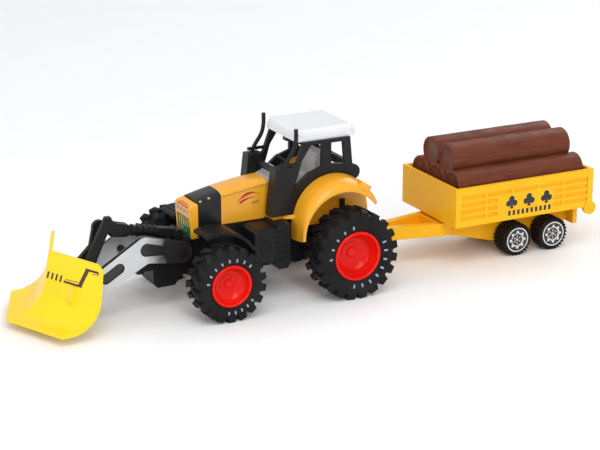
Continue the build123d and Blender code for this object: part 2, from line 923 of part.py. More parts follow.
# link rear pin: short pin in the bracket ears
with BuildPart() as link_rear_pin:
    with BuildSketch(Plane.XZ):
        with Locations(link_rear):
            Circle(pin_r)
    extrude(amount=link_half + play + 2.8, both=True)
save(link_rear_pin, "link_rear_pin")


# loader arms: flat cranked arms with two sunk slots, dark edges and a bare outer face
def arm_outline():
    with Locations(boom_pivot):
        Circle(6.6)
    with Locations(boom_elbow):
        Circle(8.3)
    make_hull()


def arm_front_outline():
    with Locations(boom_elbow):
        Circle(8.3)
    with Locations(blade_pivot):
        Circle(7.0)
    make_hull()


slot_deep = 1.2
with BuildPart() as loader_arm_left:
    with BuildSketch(side_plane(arm_y)):
        arm_outline()
    extrude(amount=arm_t)
    with BuildSketch(side_plane(arm_y)):
        arm_front_outline()
    extrude(amount=arm_t)
    # rear slot, wide at the elbow and narrow towards the pivot
    with BuildSketch(side_plane(arm_y)):
        with Locations((39.4, 41.4)):
            Circle(4.2)
        with Locations((25.0, 38.8)):
            Circle(2.6)
        make_hull()
    extrude(amount=slot_deep, mode=Mode.SUBTRACT)
    # front slot, along the lower half
    with BuildSketch(side_plane(arm_y)):
        with Locations((57.6, 32.2)):
            Circle(3.4)
        with Locations((66.4, 27.0)):
            Circle(3.4)
        make_hull()
    extrude(amount=slot_deep, mode=Mode.SUBTRACT)
    with BuildSketch(side_plane(arm_y)):
        with Locations(boom_pivot, blade_pivot):
            Circle(pin_r + fit)
    extrude(amount=arm_t, mode=Mode.SUBTRACT)
save(loader_arm_left, "loader_arm_left")
with BuildPart() as loader_arm_right:
    mirror(loader_arm_left.part, about=Plane.XZ)
save(loader_arm_right, "loader_arm_right")

# boom cross tube: joins the two arms behind the elbow
with BuildPart() as boom_cross_tube:
    with BuildSketch(Plane.XZ):
        with Locations((47.0, 36.6)):
            Circle(2.4)
    extrude(amount=arm_y - arm_t, both=True)
save(boom_cross_tube, "boom_cross_tube")

# plough blade: two swept wings of one curved section meeting in a point, with a block behind
blade_top_z = blade_low + blade_h
lean = math.atan(0.18)
curl_r = 23.5
wall_foot_x = blade_top_x + math.tan(lean) * blade_h
wing_run = blade_half
mast_back_x = 81.4
block_out_y = 25.8
block_in_y = -10.0
corner_reach = 9.6
with BuildPart() as blade:
    with BuildSketch(Plane.XZ):
        with BuildLine():
            FilletPolyline(
                (blade_top_x, blade_top_z),
                (wall_foot_x, blade_low),
                (blade_lip_x, blade_low),
                radius=curl_r,
            )
            inner_foot_x = wall_foot_x + blade_t * (1 - math.sin(lean)) / math.cos(lean)
            inner_top_x = blade_top_x + blade_t / math.cos(lean)
            Line((blade_lip_x, blade_low), (blade_lip_x, blade_low + blade_t))
            FilletPolyline(
                (blade_lip_x, blade_low + blade_t),
                (inner_foot_x, blade_low + blade_t),
                (inner_top_x, blade_top_z),
                radius=curl_r - blade_t,
            )
            Line((inner_top_x, blade_top_z), (blade_top_x, blade_top_z))
        make_face()
    wing_len = wing_run * math.hypot(1, blade_sweep)
    extrude(amount=wing_len, dir=(-blade_sweep, 1, 0))
    mirror(about=Plane.XZ)
    # ends cut so the wings are a little shorter at the top, with round upper corners
    for side in (1, -1):
        with BuildSketch(hood_plane(blade_lip_x + 10)):
            with BuildLine():
                Polyline(
                    (side * (blade_half - corner_reach), blade_top_z + 0.2),
                    (side * (blade_half + 9), blade_top_z + 0.2),
                    (side * (blade_half + 9), blade_low - 1),
                    (side * blade_half, blade_low - 1),
                    (side * (blade_half - 3.4), blade_top_z - 7.0),
                )
                ThreePointArc(
                    (side * (blade_half - 3.4), blade_top_z - 7.0),
                    (side * (blade_half - 5.2), blade_top_z - 2.2),
                    (side * (blade_half - corner_reach), blade_top_z + 0.2),
                )
            make_face()
        extrude(amount=-80, mode=Mode.SUBTRACT)
    # mounting block, longer on the left side
    with BuildSketch(side_plane(block_out_y)):
        with BuildLine():
            Polyline(
                (mast_back_x, 29.8),
                (91.9, 29.6),
                (94.8, 20.8),
                (91.0, 17.0),
                (mast_back_x, 17.0),
                close=True,
            )
        make_face()
    extrude(amount=block_out_y - block_in_y)
save(blade, "blade")

# blade mast: black fork carrying the blade on the arms, its top held by the link
mast_half = arm_y - arm_t - 1.4
plate_in = link_half + play
plate_t = 3.2
with BuildPart() as blade_mast:
    with BuildSketch(Plane.XZ):
        with Locations(blade_pivot):
            Circle(4.6)
        with Locations((mast_back_x - 1.0, 24.2)):
            Rectangle(2.0, 9.0)
        make_hull()
    extrude(amount=mast_half, both=True)
    # left plate: straight bar up to the link pin
    with BuildSketch(side_plane(plate_in + plate_t)):
        with BuildLine():
            Polyline(
                (70.4, 24.0),
                (69.6, 36.0),
                (58.0, 60.6),
                (59.2, 63.4),
                (62.6, 63.6),
                (76.4, 37.0),
                (78.6, 26.0),
                close=True,
            )
        make_face()
        with Locations(link_front):
            Circle(3.4)
        with Locations((link_front[0] + 2.6, link_front[1] + 3.2)):
            Circle(3.8)
    extrude(amount=plate_t)
    # right plate: cranked, with a round head
    with BuildSketch(side_plane(-plate_in)):
        with BuildLine():
            Polyline(
                (70.4, 24.0),
                (68.6, 36.0),
                (59.0, 47.0),
                (58.2, 54.0),
                (67.4, 54.0),
                (69.6, 43.6),
                (78.0, 35.6),
                (78.6, 26.0),
                close=True,
            )
        make_face()
        with Locations((62.9, 54.4)):
            Circle(4.6)
        with Locations(link_front):
            Circle(3.4)
        with Locations((link_front[0] + 3, link_front[1])):
            Rectangle(7, 6)
    extrude(amount=plate_t)
    with BuildSketch(Plane.XZ):
        with Locations(blade_pivot, link_front):
            Circle(pin_r)
    extrude(amount=mast_half + 2, both=True, mode=Mode.SUBTRACT)
save(blade_mast, "blade_mast")

# blade pivot pin: through the mast hub and both arms
with BuildPart() as blade_pivot_pin:
    with BuildSketch(Plane.XZ):
        with Locations(blade_pivot):
            Circle(pin_r)
    extrude(amount=arm_y + play, both=True)
    for head_y in (arm_y + play + pin_head, -arm_y - play):
        with BuildSketch(side_plane(head_y)):
            with Locations(blade_pivot):
                Circle(pin_r + 1.0)
        extrude(amount=pin_head)
save(blade_pivot_pin, "blade_pivot_pin")

# mast pin: short pin across the mast plates, held loosely by the link
with BuildPart() as mast_pin:
    with BuildSketch(Plane.XZ):
        with Locations(link_front):
            Circle(pin_r)
    extrude(amount=plate_in + plate_t + 0.4, both=True)
save(mast_pin, "mast_pin")

# tilt link: black ram with raised round collars between the bracket and the mast
ram_r = 2.7
collar_r = 3.7
collar_w = 1.7
link_run = (link_front[0] - link_rear[0], link_front[1] - link_rear[1])
with BuildPart() as tilt_link:
    # flat eye at the bracket
    with BuildSketch(Plane.XZ):
        with Locations(link_rear):
            Circle(2.9)
        with Locations((link_rear[0] + link_run[0] * 0.28, link_rear[1] + link_run[1] * 0.28)):
            Circle(2.9)
        make_hull()
    extrude(amount=link_half, both=True)
    # block at the mast
    with BuildSketch(Plane.XZ):
        with Locations((link_rear[0] + link_run[0] * 0.82, link_rear[1] + link_run[1] * 0.82)):
            Circle(4.0)
        with Locations(link_front):
            Circle(4.4)
        make_hull()
    extrude(amount=link_half, both=True)
    fillet(tilt_link.faces().sort_by(Axis.Y)[-1].edges(), radius=0.7)
    fillet(tilt_link.faces().sort_by(Axis.Y)[0].edges(), radius=0.7)
    # round ram and its collars
    for share, radius, length in (
        (0.2, ram_r, math.hypot(*link_run) * 0.6),
        (0.32, collar_r, collar_w),
        (0.41, collar_r, collar_w),
        (0.5, collar_r, collar_w),
        (0.59, collar_r, collar_w),
        (0.68, collar_r, collar_w),
    ):
        start = (link_rear[0] + link_run[0] * share, 0, link_rear[1] + link_run[1] * share)
        with BuildSketch(Plane(origin=start, x_dir=(0, 1, 0), z_dir=(link_run[0], 0, link_run[1]))):
            Circle(radius)
        extrude(amount=length)
    with BuildSketch(Plane.XZ):
        with Locations(link_rear):
            Circle(pin_r + fit)
        with Locations(link_front):
            Circle(pin_r + play)
    extrude(amount=link_half + 1, both=True, mode=Mode.SUBTRACT)
save(tilt_link, "tilt_link")

# tow hook: plate below the back of the chassis with an upright peg
draw_low = 19.0
draw_high = 27.4
ring_h = 4.6
peg_r = 2.2
tow_t = 2.6
with BuildPart() as tow_hook:
    with BuildSketch(Plane.XY.offset(chassis_bottom - tow_t)):
        with Locations((hitch_x, 0)):
            Circle(4.6)
        with Locations((-101.0, 0)):
            Rectangle(8, 12)
        make_hull()
    extrude(amount=tow_t)
    with BuildSketch(Plane.XY.offset(chassis_bottom)):
        with Locations((hitch_x, 0)):
            Circle(peg_r)
    extrude(amount=draw_low + ring_h + 2.6 - chassis_bottom)
    chamfer(tow_hook.faces().sort_by(Axis.Z)[-1].edges(), length=0.7)
save(tow_hook, "tow_hook")

# trailer chassis: yellow moulding of drawbar, underframe rails and a rear cross plate
draw_back_x = bed_front_x - 3.0
draw_y = 15.0
rail_y = 12.0
rail_t = 2.4
cross_x = bed_rear_x + 3.6
cross_y = 20.0
axle_pin_r = 1.2
with BuildPart() as trailer_chassis:
    # drawbar frame as an open triangle
    with BuildSketch(Plane.XY.offset(draw_low)):
        with Locations((hitch_x, 0)):
            Circle(5.4)
        with Locations((draw_back_x, 0)):
            Rectangle(4, 2 * draw_y)
        make_hull()
        with BuildLine():
            Polyline(
                (hitch_x - 10, -1.2),
                (hitch_x - 10, 1.2),
                (draw_back_x + 4, draw_y - 4.4),
                (draw_back_x + 4, -draw_y + 4.4),
                close=True,
            )
        make_face(mode=Mode.SUBTRACT)
    extrude(amount=draw_high - draw_low)
    # thin web inside the drawbar
    with BuildSketch(Plane.XY.offset(draw_low)):
        with BuildLine():
            Polyline(
                (hitch_x - 26, -4.6),
                (hitch_x - 26, 4.6),
                (draw_back_x + 3, draw_y - 3),
                (draw_back_x + 3, -draw_y + 3),
                close=True,
            )
        make_face()
    extrude(amount=1.6)
    # the ring at the front is thinner than the arms
    with BuildSketch(Plane.XY.offset(draw_low + ring_h)):
        with Locations((hitch_x, 0)):
            Rectangle(16, 16)
    extrude(amount=draw_high - draw_low, mode=Mode.SUBTRACT)
    with BuildSketch(Plane.XY.offset(draw_low - 1)):
        with Locations((hitch_x, 0)):
            Circle(peg_r + play)
    extrude(amount=draw_high, mode=Mode.SUBTRACT)
    # cross member below the front of the bed
    with BuildSketch(Plane.XY.offset(draw_low)):
        with Locations((draw_back_x - 3, 0)):
            Rectangle(6, 2 * draw_y)
    extrude(amount=bed_floor - draw_low)
    # underframe rails
    for start_y in (rail_y, -rail_y + rail_t):
        with BuildSketch(side_plane(start_y)):
            with BuildLine():
                Polyline(
                    (draw_back_x - 2, bed_floor),
                    (draw_back_x - 2, draw_low),
                    (trailer_axle_x[0] + 12, 8.6),
                    (trailer_axle_x[1] - 8, 7.6),
                    (trailer_axle_x[1] - 14, 12.0),
                    (cross_x, 17.0),
                    (cross_x, bed_floor),
                    close=True,
                )
            make_face()
        extrude(amount=rail_t)
    # top plate between the rails
    with BuildSketch(Plane.XY.offset(bed_floor - 2.0)):
        with Locations(((draw_back_x + cross_x) / 2, 0)):
            Rectangle(draw_back_x - cross_x, 2 * rail_y)
    extrude(amount=2.0)
    # rear cross plate
    with BuildSketch(Plane.XY.offset(14.2)):
        with Locations((cross_x, 0)):
            Rectangle(3.4, 2 * cross_y)
    extrude(amount=bed_floor - 14.2)
    for axle_x in trailer_axle_x:
        with BuildSketch(Plane.XZ):
            with Locations((axle_x, trailer_tyre_r)):
                Circle(axle_pin_r + fit)
        extrude(amount=rail_y + 1, both=True, mode=Mode.SUBTRACT)
save(trailer_chassis, "trailer_chassis")

# trailer bed: open yellow box with sunk slots on its sides and a free rear end
gate_pin = (bed_rear_x + 1.6, bed_floor - 0.9)
ear_r = 4.6
post_l = 4.2
bed_wall = 2.3
slot_pitch = (bed_l - 6.6) / 5
slot_l = slot_pitch - 2.0
slot_h = 2.6
row_pitch = 4.65
row_first = bed_top - 6.6
slot_sink = 1.0
side_rear_x = bed_rear_x + post_l + play
with BuildPart() as trailer_bed:
    with BuildSketch(Plane.XY.offset(bed_floor)):
        with Locations(((bed_front_x + bed_rear_x + 2.6) / 2, 0)):
            Rectangle(bed_l - 2.6, bed_w)
    extrude(amount=bed_h)
    with BuildSketch(Plane.XY.offset(bed_floor + 2.0)):
        with Locations(((bed_front_x - bed_wall + bed_rear_x - 4) / 2, 0)):
            Rectangle(bed_l + 4 - bed_wall, bed_w - 2 * bed_wall)
    extrude(amount=bed_h, mode=Mode.SUBTRACT)
    # the side walls stop short of the tailgate posts
    for side in (1, -1):
        with BuildSketch(Plane.XY.offset(bed_floor - 1)):
            with Locations((bed_rear_x + 1.0, side * (bed_y - 1.5))):
                Rectangle(2 * (side_rear_x - bed_rear_x - 1.0), 3.6)
        extrude(amount=bed_h + 2, mode=Mode.SUBTRACT)
        # room for the tailgate knuckle
        with BuildSketch(side_plane(side * bed_y if side > 0 else -bed_y + 3.3)):
            with Locations(gate_pin):
                Circle(ear_r + 0.4)
        extrude(amount=3.3, mode=Mode.SUBTRACT)
        # lug that carries the tailgate pin
        with BuildSketch(side_plane(bed_y - 3.6 if side > 0 else -bed_y + 6.0)):
            with Locations(gate_pin):
                Circle(2.6)
            with Locations((gate_pin[0] + 7, bed_floor + 1.0)):
                Rectangle(2, 2.0)
            make_hull()
        extrude(amount=2.4)
        with BuildSketch(side_plane(bed_y - 3.6 if side > 0 else -bed_y + 6.0)):
            with Locations(gate_pin):
                Circle(axle_pin_r)
        extrude(amount=2.4, mode=Mode.SUBTRACT)
    # sunk slots: one full upper row, three lower rows that leave a plain middle panel
    for side in (1, -1):
        for row in range(4):
            for column in range(5):
                slot_x = bed_front_x - 4.3 - slot_pitch * column - slot_l / 2
                slot_len = slot_l
                if row > 0:
                    if column == 2:
                        continue
                    if column == 1:
                        slot_len = slot_l * 0.4
                        slot_x = bed_front_x - 4.3 - slot_pitch - slot_len / 2
                    if column == 3:
                        slot_len = slot_l * 0.4
                        slot_x = bed_front_x - 4.3 - slot_pitch * 4 + 2.0 + slot_len / 2
                with BuildSketch(side_plane(bed_y if side > 0 else -bed_y + slot_sink)):
                    with Locations((slot_x, row_first - row * row_pitch)):
                        Rectangle(slot_len, slot_h)
                extrude(amount=slot_sink, mode=Mode.SUBTRACT)
save(trailer_bed, "trailer_bed")

# tailgate: panel with side posts and round knuckles on the bed pins
gate_low = bed_floor + 2.3
with BuildPart() as tailgate:
    with BuildSketch(Plane.XY.offset(gate_low)):
        with Locations((bed_rear_x + 1.1, 0)):
            Rectangle(2.2, bed_w)
    extrude(amount=bed_top - gate_low)
    for post_y in (bed_y, -bed_y + 2.8):
        with BuildSketch(side_plane(post_y)):
            with Locations((bed_rear_x + post_l / 2, (bed_top + gate_pin[1] + 4) / 2)):
                Rectangle(post_l, bed_top - gate_pin[1] - 4)
            with Locations(gate_pin):
                Circle(ear_r)
        extrude(amount=2.8)
    for ear_y in (bed_y + 1, -bed_y + 3.8):
        with BuildSketch(side_plane(ear_y)):
            with Locations(gate_pin):
                Circle(axle_pin_r + fit)
        extrude(amount=4.8, mode=Mode.SUBTRACT)
    # stiffening bars across the back
    for bar_z in (bed_floor + 9, bed_floor + 17):
        with BuildSketch(Plane.XY.offset(bar_z)):
            with Locations((bed_rear_x - 0.4, 0)):
                Rectangle(0.8, bed_w - 12)
        extrude(amount=1.6)
save(tailgate, "tailgate")

# tailgate pins: one stub each side
with BuildPart() as tailgate_pins:
    for pin_y in (bed_y + 0.3, -bed_y + 6.0):
        with BuildSketch(side_plane(pin_y)):
            with Locations(gate_pin):
                Circle(axle_pin_r)
        extrude(amount=6.3)
save(tailgate_pins, "tailgate_pins")

# log load: one brown moulding of five stacked logs on a plinth
log_front_x = bed_front_x - 4.6
log_low_z = 54.6
log_up_z = log_low_z + log_r * math.sqrt(3) - 2.0
upper_set_back = 2.0
upper_short = 6.5
with BuildPart() as log_load:
    with BuildSketch(hood_plane(log_front_x)):
        with Locations((-2 * log_r, log_low_z), (0, log_low_z), (2 * log_r, log_low_z)):
            Circle(log_r + 0.25)
    extrude(amount=-log_l)
    with BuildSketch(hood_plane(log_front_x - upper_set_back)):
        with Locations((-log_r, log_up_z), (log_r, log_up_z)):
            Circle(log_r + 0.25)
    extrude(amount=upper_short - log_l)
    with BuildSketch(Plane.XY.offset(bed_floor + 2.0)):
        with Locations((log_front_x - log_l / 2, 0)):
            Rectangle(log_l - 3, 5.2 * log_r)
    extrude(amount=log_low_z - bed_floor - 2.0)
save(log_load, "log_load")

# trailer wheels: ribbed tyres on plain round hubs, one steel axle per pair
for place, axle_x in zip(("front", "rear"), trailer_axle_x):
    centre = (axle_x, trailer_tyre_r)
    inner = trailer_track_y - trailer_tyre_w
    tread_r = trailer_tyre_r - 0.7
    with BuildPart() as small_tyre:
        with BuildSketch(axle_plane(centre)):
            with BuildLine():
                Polyline(
                    (inner, trailer_rim_r),
                    (inner, tread_r - 1.2),
                    (inner + 1.2, tread_r),
                    (trailer_track_y - 1.2, tread_r),
                    (trailer_track_y - 0.1, tread_r - 1.2),
                    (trailer_track_y, trailer_rim_r + 0.4),
                    (trailer_track_y - 0.4, trailer_rim_r),
                    close=True,
                )
            make_face()
        revolve(axis=axle_line(centre))
        for index in range(28):
            angle = math.radians(360 / 28 * index)
            out = (math.cos(angle), 0, math.sin(angle))
            root = tread_r - 0.6
            base = (
                centre[0] + root * out[0],
                trailer_track_y - trailer_tyre_w / 2,
                centre[1] + root * out[2],
            )
            with BuildSketch(Plane(origin=base, x_dir=(0, 1, 0), z_dir=out)):
                Rectangle(trailer_tyre_w - 1.6, 1.3)
            extrude(amount=1.3)
    save(small_tyre, f"trailer_{place}_tyre_left")
    with BuildPart() as small_tyre_right:
        mirror(small_tyre.part, about=Plane.XZ)
    save(small_tyre_right, f"trailer_{place}_tyre_right")
    with BuildPart() as small_rim:
        with BuildSketch(axle_plane(centre)):
            with BuildLine():
                Polyline(
                    (inner + 0.4, axle_pin_r),
                    (inner + 0.4, trailer_rim_r),
                    (trailer_track_y - 0.4, trailer_rim_r),
                    (trailer_track_y - 0.2, trailer_rim_r - 0.4),
                    (trailer_track_y - 0.2, 4.4),
                    (trailer_track_y - 0.8, 3.8),
                    (trailer_track_y - 0.8, axle_pin_r),
                    close=True,
                )
            make_face()
        revolve(axis=axle_line(centre))
    save(small_rim, f"trailer_{place}_rim_left")
    with BuildPart() as small_rim_right:
        mirror(small_rim.part, about=Plane.XZ)
    save(small_rim_right, f"trailer_{place}_rim_right")
    with BuildPart() as small_axle:
        with BuildSketch(Plane.XZ):
            with Locations(centre):
                Circle(axle_pin_r)
        extrude(amount=trailer_track_y - 0.8, both=True)
    save(small_axle, f"trailer_{place}_axle")

# trailer screws: two round heads in the top plate, seen through from below
with BuildPart() as trailer_screws:
    with BuildSketch(Plane.XY.offset(bed_floor - 2.0)):
        with Locations((-200.0, 0), (-266.0, 0)):
            Circle(2.6)
    extrude(amount=-1.0)
    chamfer(trailer_screws.faces().group_by(Axis.Z)[0].edges(), length=0.4)
save(trailer_screws, "trailer_screws")
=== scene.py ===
import math

import bmesh
import bpy
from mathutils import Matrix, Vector, noise
from mathutils.bvhtree import BVHTree


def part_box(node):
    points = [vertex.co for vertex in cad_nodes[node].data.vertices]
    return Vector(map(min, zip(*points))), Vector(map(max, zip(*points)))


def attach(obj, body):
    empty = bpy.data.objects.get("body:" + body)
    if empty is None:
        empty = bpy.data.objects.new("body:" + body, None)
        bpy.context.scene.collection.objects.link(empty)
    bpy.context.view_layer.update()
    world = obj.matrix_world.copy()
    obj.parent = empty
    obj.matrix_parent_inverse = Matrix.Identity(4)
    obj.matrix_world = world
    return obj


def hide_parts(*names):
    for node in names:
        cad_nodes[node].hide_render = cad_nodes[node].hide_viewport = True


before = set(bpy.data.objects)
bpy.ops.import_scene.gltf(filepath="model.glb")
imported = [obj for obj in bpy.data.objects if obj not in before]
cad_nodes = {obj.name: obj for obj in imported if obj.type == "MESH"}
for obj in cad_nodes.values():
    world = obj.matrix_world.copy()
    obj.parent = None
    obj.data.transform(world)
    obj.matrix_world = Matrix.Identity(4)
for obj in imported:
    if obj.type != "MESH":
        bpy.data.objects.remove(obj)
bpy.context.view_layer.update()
mm = 0.001

# Camera: a long lens a little above table height, looking at the toy's left side and front.
aim = Vector((-73.1, 0.0, 36.8)) * mm
camera_turn = math.radians(62.6)
camera_rise = math.radians(18.0)
camera_distance = 1.275
camera_data = bpy.data.cameras.new("camera")
camera_data.sensor_width = 36.0
camera_data.lens = 119.25
camera_data.clip_start = 0.05
camera_data.clip_end = 20.0
camera = bpy.data.objects.new("camera", camera_data)
camera.location = aim + camera_distance * Vector(
    (
        math.cos(camera_turn) * math.cos(camera_rise),
        math.sin(camera_turn) * math.cos(camera_rise),
        math.sin(camera_rise),
    )
)
camera.rotation_euler = (aim - camera.location).to_track_quat("-Z", "Y").to_euler()
bpy.context.scene.collection.objects.link(camera)
bpy.context.scene.camera = camera

# Light: a wide soft box over the near side, a fill from the front, a strip behind, a small box
# for crisp highlights and a bright white room.
bpy.context.scene.view_settings.view_transform = "Standard"
for name, place, size, power in (
    ("key_box", (0.35, 1.0, 1.5), 1.1, 12.5),
    ("front_fill", (1.5, 0.5, 0.7), 0.9, 5.0),
    ("back_strip", (-1.3, -0.6, 1.2), 0.9, 6.0),
    ("small_spot", (0.15, 1.25, 0.75), 0.12, 2.2),
):
    lamp_data = bpy.data.lights.new(name, "AREA")
    lamp_data.shape = "SQUARE"
    lamp_data.size = size
    lamp_data.energy = power
    lamp = bpy.data.objects.new(name, lamp_data)
    lamp.location = Vector(place)
    lamp.rotation_euler = (aim - lamp.location).to_track_quat("-Z", "Y").to_euler()
    bpy.context.scene.collection.objects.link(lamp)
world = bpy.data.worlds.new("white_room")
bpy.context.scene.world = world
world.use_nodes = True
world.node_tree.nodes["Background"].inputs["Color"].default_value = (0.97, 0.98, 1.0, 1.0)
world.node_tree.nodes["Background"].inputs["Strength"].default_value = 0.72

# Floor: a pale matt table top that the toy stands on, with a barely visible paper texture.
floor_mesh = bpy.data.meshes.new("floor")
floor_mesh.from_pydata([(-6, -6, 0), (6, -6, 0), (6, 6, 0), (-6, 6, 0)], [], [(0, 1, 2, 3)])
floor = bpy.data.objects.new("floor", floor_mesh)
bpy.context.scene.collection.objects.link(floor)
paper = bpy.data.materials.new("pale_paper")
paper.use_nodes = True
paper_nodes = paper.node_tree.nodes
paper_bsdf = paper_nodes["Principled BSDF"]
paper_bsdf.inputs["Roughness"].default_value = 0.85
paper_place = paper_nodes.new("ShaderNodeTexCoord")
paper_noise = paper_nodes.new("ShaderNodeTexNoise")
paper_noise.inputs["Scale"].default_value = 40.0
paper_ramp = paper_nodes.new("ShaderNodeMapRange")
paper_ramp.inputs["To Min"].default_value = 0.90
paper_ramp.inputs["To Max"].default_value = 0.93
paper.node_tree.links.new(paper_place.outputs["Object"], paper_noise.inputs["Vector"])
paper.node_tree.links.new(paper_noise.outputs["Fac"], paper_ramp.inputs["Value"])
paper.node_tree.links.new(paper_ramp.outputs["Result"], paper_bsdf.inputs["Base Color"])
floor_mesh.materials.append(paper)


# Chassis, mudguards, side tanks and tow hook: black moulded plastic with a satin skin, pressed
# from steel tools, so it has a fine grain, slight flow marks and edges rubbed a little paler.
def shader_group(name, inputs, outputs):
    tree = bpy.data.node_groups.new(name, "ShaderNodeTree")
    for label, kind, value in inputs:
        socket = tree.interface.new_socket(label, in_out="INPUT", socket_type=kind)
        socket.default_value = value
    for label, kind in outputs:
        tree.interface.new_socket(label, in_out="OUTPUT", socket_type=kind)
    return tree, tree.nodes.new("NodeGroupInput"), tree.nodes.new("NodeGroupOutput")


def wired(tree, kind, values=(), **options):
    # adds a node, sets its options, and sets or links its inputs
    node = tree.nodes.new(kind)
    for label, value in options.items():
        setattr(node, label, value)
    for label, value in dict(values).items():
        if isinstance(value, bpy.types.NodeSocket):
            tree.links.new(value, node.inputs[label])
        else:
            node.inputs[label].default_value = value
    return node


COLOR = "NodeSocketColor"
FLOAT = "NodeSocketFloat"

# skin: colour drift over centimetres, roughness over millimetres and a fine moulded grain
skin, skin_in, skin_out = shader_group(
    "moulded_skin",
    (
        ("Shade", COLOR, (0.5, 0.5, 0.5, 1)),
        ("Drift Shade", COLOR, (0.4, 0.4, 0.4, 1)),
        ("Smooth", FLOAT, 0.3),
        ("Rough", FLOAT, 0.4),
        ("Grain Scale", FLOAT, 2200.0),
    ),
    (("Color", COLOR), ("Roughness", FLOAT), ("Height", FLOAT)),
)
skin_place = wired(skin, "ShaderNodeTexCoord").outputs["Object"]
skin_drift = wired(skin, "ShaderNodeTexNoise", {"Vector": skin_place, "Scale": 45.0, "Detail": 1.0})
skin_mix = wired(
    skin,
    "ShaderNodeMapRange",
    {"Value": skin_drift.outputs["Fac"], "From Min": 0.35, "From Max": 0.68},
)
skin_shade = wired(skin, "ShaderNodeMix", data_type="RGBA")
skin.links.new(skin_mix.outputs["Result"], skin_shade.inputs[0])
skin.links.new(skin_in.outputs["Shade"], skin_shade.inputs[6])
skin.links.new(skin_in.outputs["Drift Shade"], skin_shade.inputs[7])
skin_smear = wired(
    skin, "ShaderNodeTexNoise", {"Vector": skin_place, "Scale": 130.0, "Detail": 1.0}
)
skin_rough = wired(
    skin,
    "ShaderNodeMapRange",
    {
        "Value": skin_smear.outputs["Fac"],
        "From Min": 0.3,
        "From Max": 0.7,
        "To Min": skin_in.outputs["Smooth"],
        "To Max": skin_in.outputs["Rough"],
    },
)
skin_grain = wired(
    skin, "ShaderNodeTexNoise", {"Vector": skin_place, "Scale": skin_in.outputs["Grain Scale"]}
)
skin.links.new(skin_shade.outputs[2], skin_out.inputs["Color"])
skin.links.new(skin_rough.outputs["Result"], skin_out.inputs["Roughness"])
skin.links.new(skin_grain.outputs["Fac"], skin_out.inputs["Height"])

# rubbed: a mask along outer edges, broken up so that it looks handled and not outlined
rubbed, rubbed_in, rubbed_out = shader_group(
    "rubbed_edges", (("Width", FLOAT, 0.0006), ("Amount", FLOAT, 0.5)), (("Mask", FLOAT),)
)
rubbed_bevel = wired(rubbed, "ShaderNodeBevel", {"Radius": rubbed_in.outputs["Width"]}, samples=4)
rubbed_face = wired(rubbed, "ShaderNodeNewGeometry")
rubbed_dot = wired(rubbed, "ShaderNodeVectorMath", operation="DOT_PRODUCT")
rubbed.links.new(rubbed_bevel.outputs["Normal"], rubbed_dot.inputs[0])
rubbed.links.new(rubbed_face.outputs["True Normal"], rubbed_dot.inputs[1])
rubbed_edge = wired(
    rubbed,
    "ShaderNodeMapRange",
    {"Value": rubbed_dot.outputs["Value"], "From Min": 0.98, "From Max": 0.80},
)
rubbed_place = wired(rubbed, "ShaderNodeTexCoord").outputs["Object"]
rubbed_noise = wired(rubbed, "ShaderNodeTexNoise", {"Vector": rubbed_place, "Scale": 500.0})
rubbed_break = wired(
    rubbed,
    "ShaderNodeMapRange",
    {"Value": rubbed_noise.outputs["Fac"], "From Min": 0.4, "From Max": 0.65},
)
rubbed_product = wired(rubbed, "ShaderNodeMath", operation="MULTIPLY")
rubbed.links.new(rubbed_edge.outputs["Result"], rubbed_product.inputs[0])
rubbed.links.new(rubbed_break.outputs["Result"], rubbed_product.inputs[1])
rubbed_level = wired(rubbed, "ShaderNodeMath", operation="MULTIPLY", use_clamp=True)
rubbed.links.new(rubbed_product.outputs["Value"], rubbed_level.inputs[0])
rubbed.links.new(rubbed_in.outputs["Amount"], rubbed_level.inputs[1])
rubbed.links.new(rubbed_level.outputs["Value"], rubbed_out.inputs["Mask"])


def finish(
    name,
    shade,
    drift,
    smooth,
    rough,
    edge=None,
    edge_amount=0.5,
    grain=2200.0,
    bump=0.00002,
    coat=0.0,
    coat_rough=0.08,
    metallic=0.0,
    round_edge=0.0003,
    specular=0.5,
):
    # one moulded or painted material: skin, rubbed edges, fine bump and softened corners
    material = bpy.data.materials.new(name)
    material.use_nodes = True
    tree = material.node_tree
    bsdf = tree.nodes["Principled BSDF"]
    skin_node = wired(tree, "ShaderNodeGroup", node_tree=skin)
    skin_node.inputs["Shade"].default_value = (*shade, 1)
    skin_node.inputs["Drift Shade"].default_value = (*drift, 1)
    skin_node.inputs["Smooth"].default_value = smooth
    skin_node.inputs["Rough"].default_value = rough
    skin_node.inputs["Grain Scale"].default_value = grain
    edge_node = wired(tree, "ShaderNodeGroup", node_tree=rubbed)
    edge_node.inputs["Amount"].default_value = edge_amount
    mix = wired(tree, "ShaderNodeMix", data_type="RGBA")
    mix.name = "rubbed_mix"
    tree.links.new(edge_node.outputs["Mask"], mix.inputs[0])
    tree.links.new(skin_node.outputs["Color"], mix.inputs[6])
    mix.inputs[7].default_value = (*(edge or drift), 1)
    tree.links.new(mix.outputs[2], bsdf.inputs["Base Color"])
    tree.links.new(skin_node.outputs["Roughness"], bsdf.inputs["Roughness"])
    soft = wired(tree, "ShaderNodeBevel", {"Radius": round_edge}, samples=4)
    grain_bump = wired(
        tree,
        "ShaderNodeBump",
        {
            "Strength": 0.6,
            "Distance": bump,
            "Height": skin_node.outputs["Height"],
            "Normal": soft.outputs["Normal"],
        },
    )
    grain_bump.name = "grain_bump"
    tree.links.new(grain_bump.outputs["Normal"], bsdf.inputs["Normal"])
    bsdf.inputs["Metallic"].default_value = metallic
    bsdf.inputs["Coat Weight"].default_value = coat
    bsdf.inputs["Coat Roughness"].default_value = coat_rough
    bsdf.inputs["Specular IOR Level"].default_value = specular
    return material


def dress(material, *names):
    for name in names:
        mesh = cad_nodes[name].data
        mesh.materials.clear()
        mesh.materials.append(material)


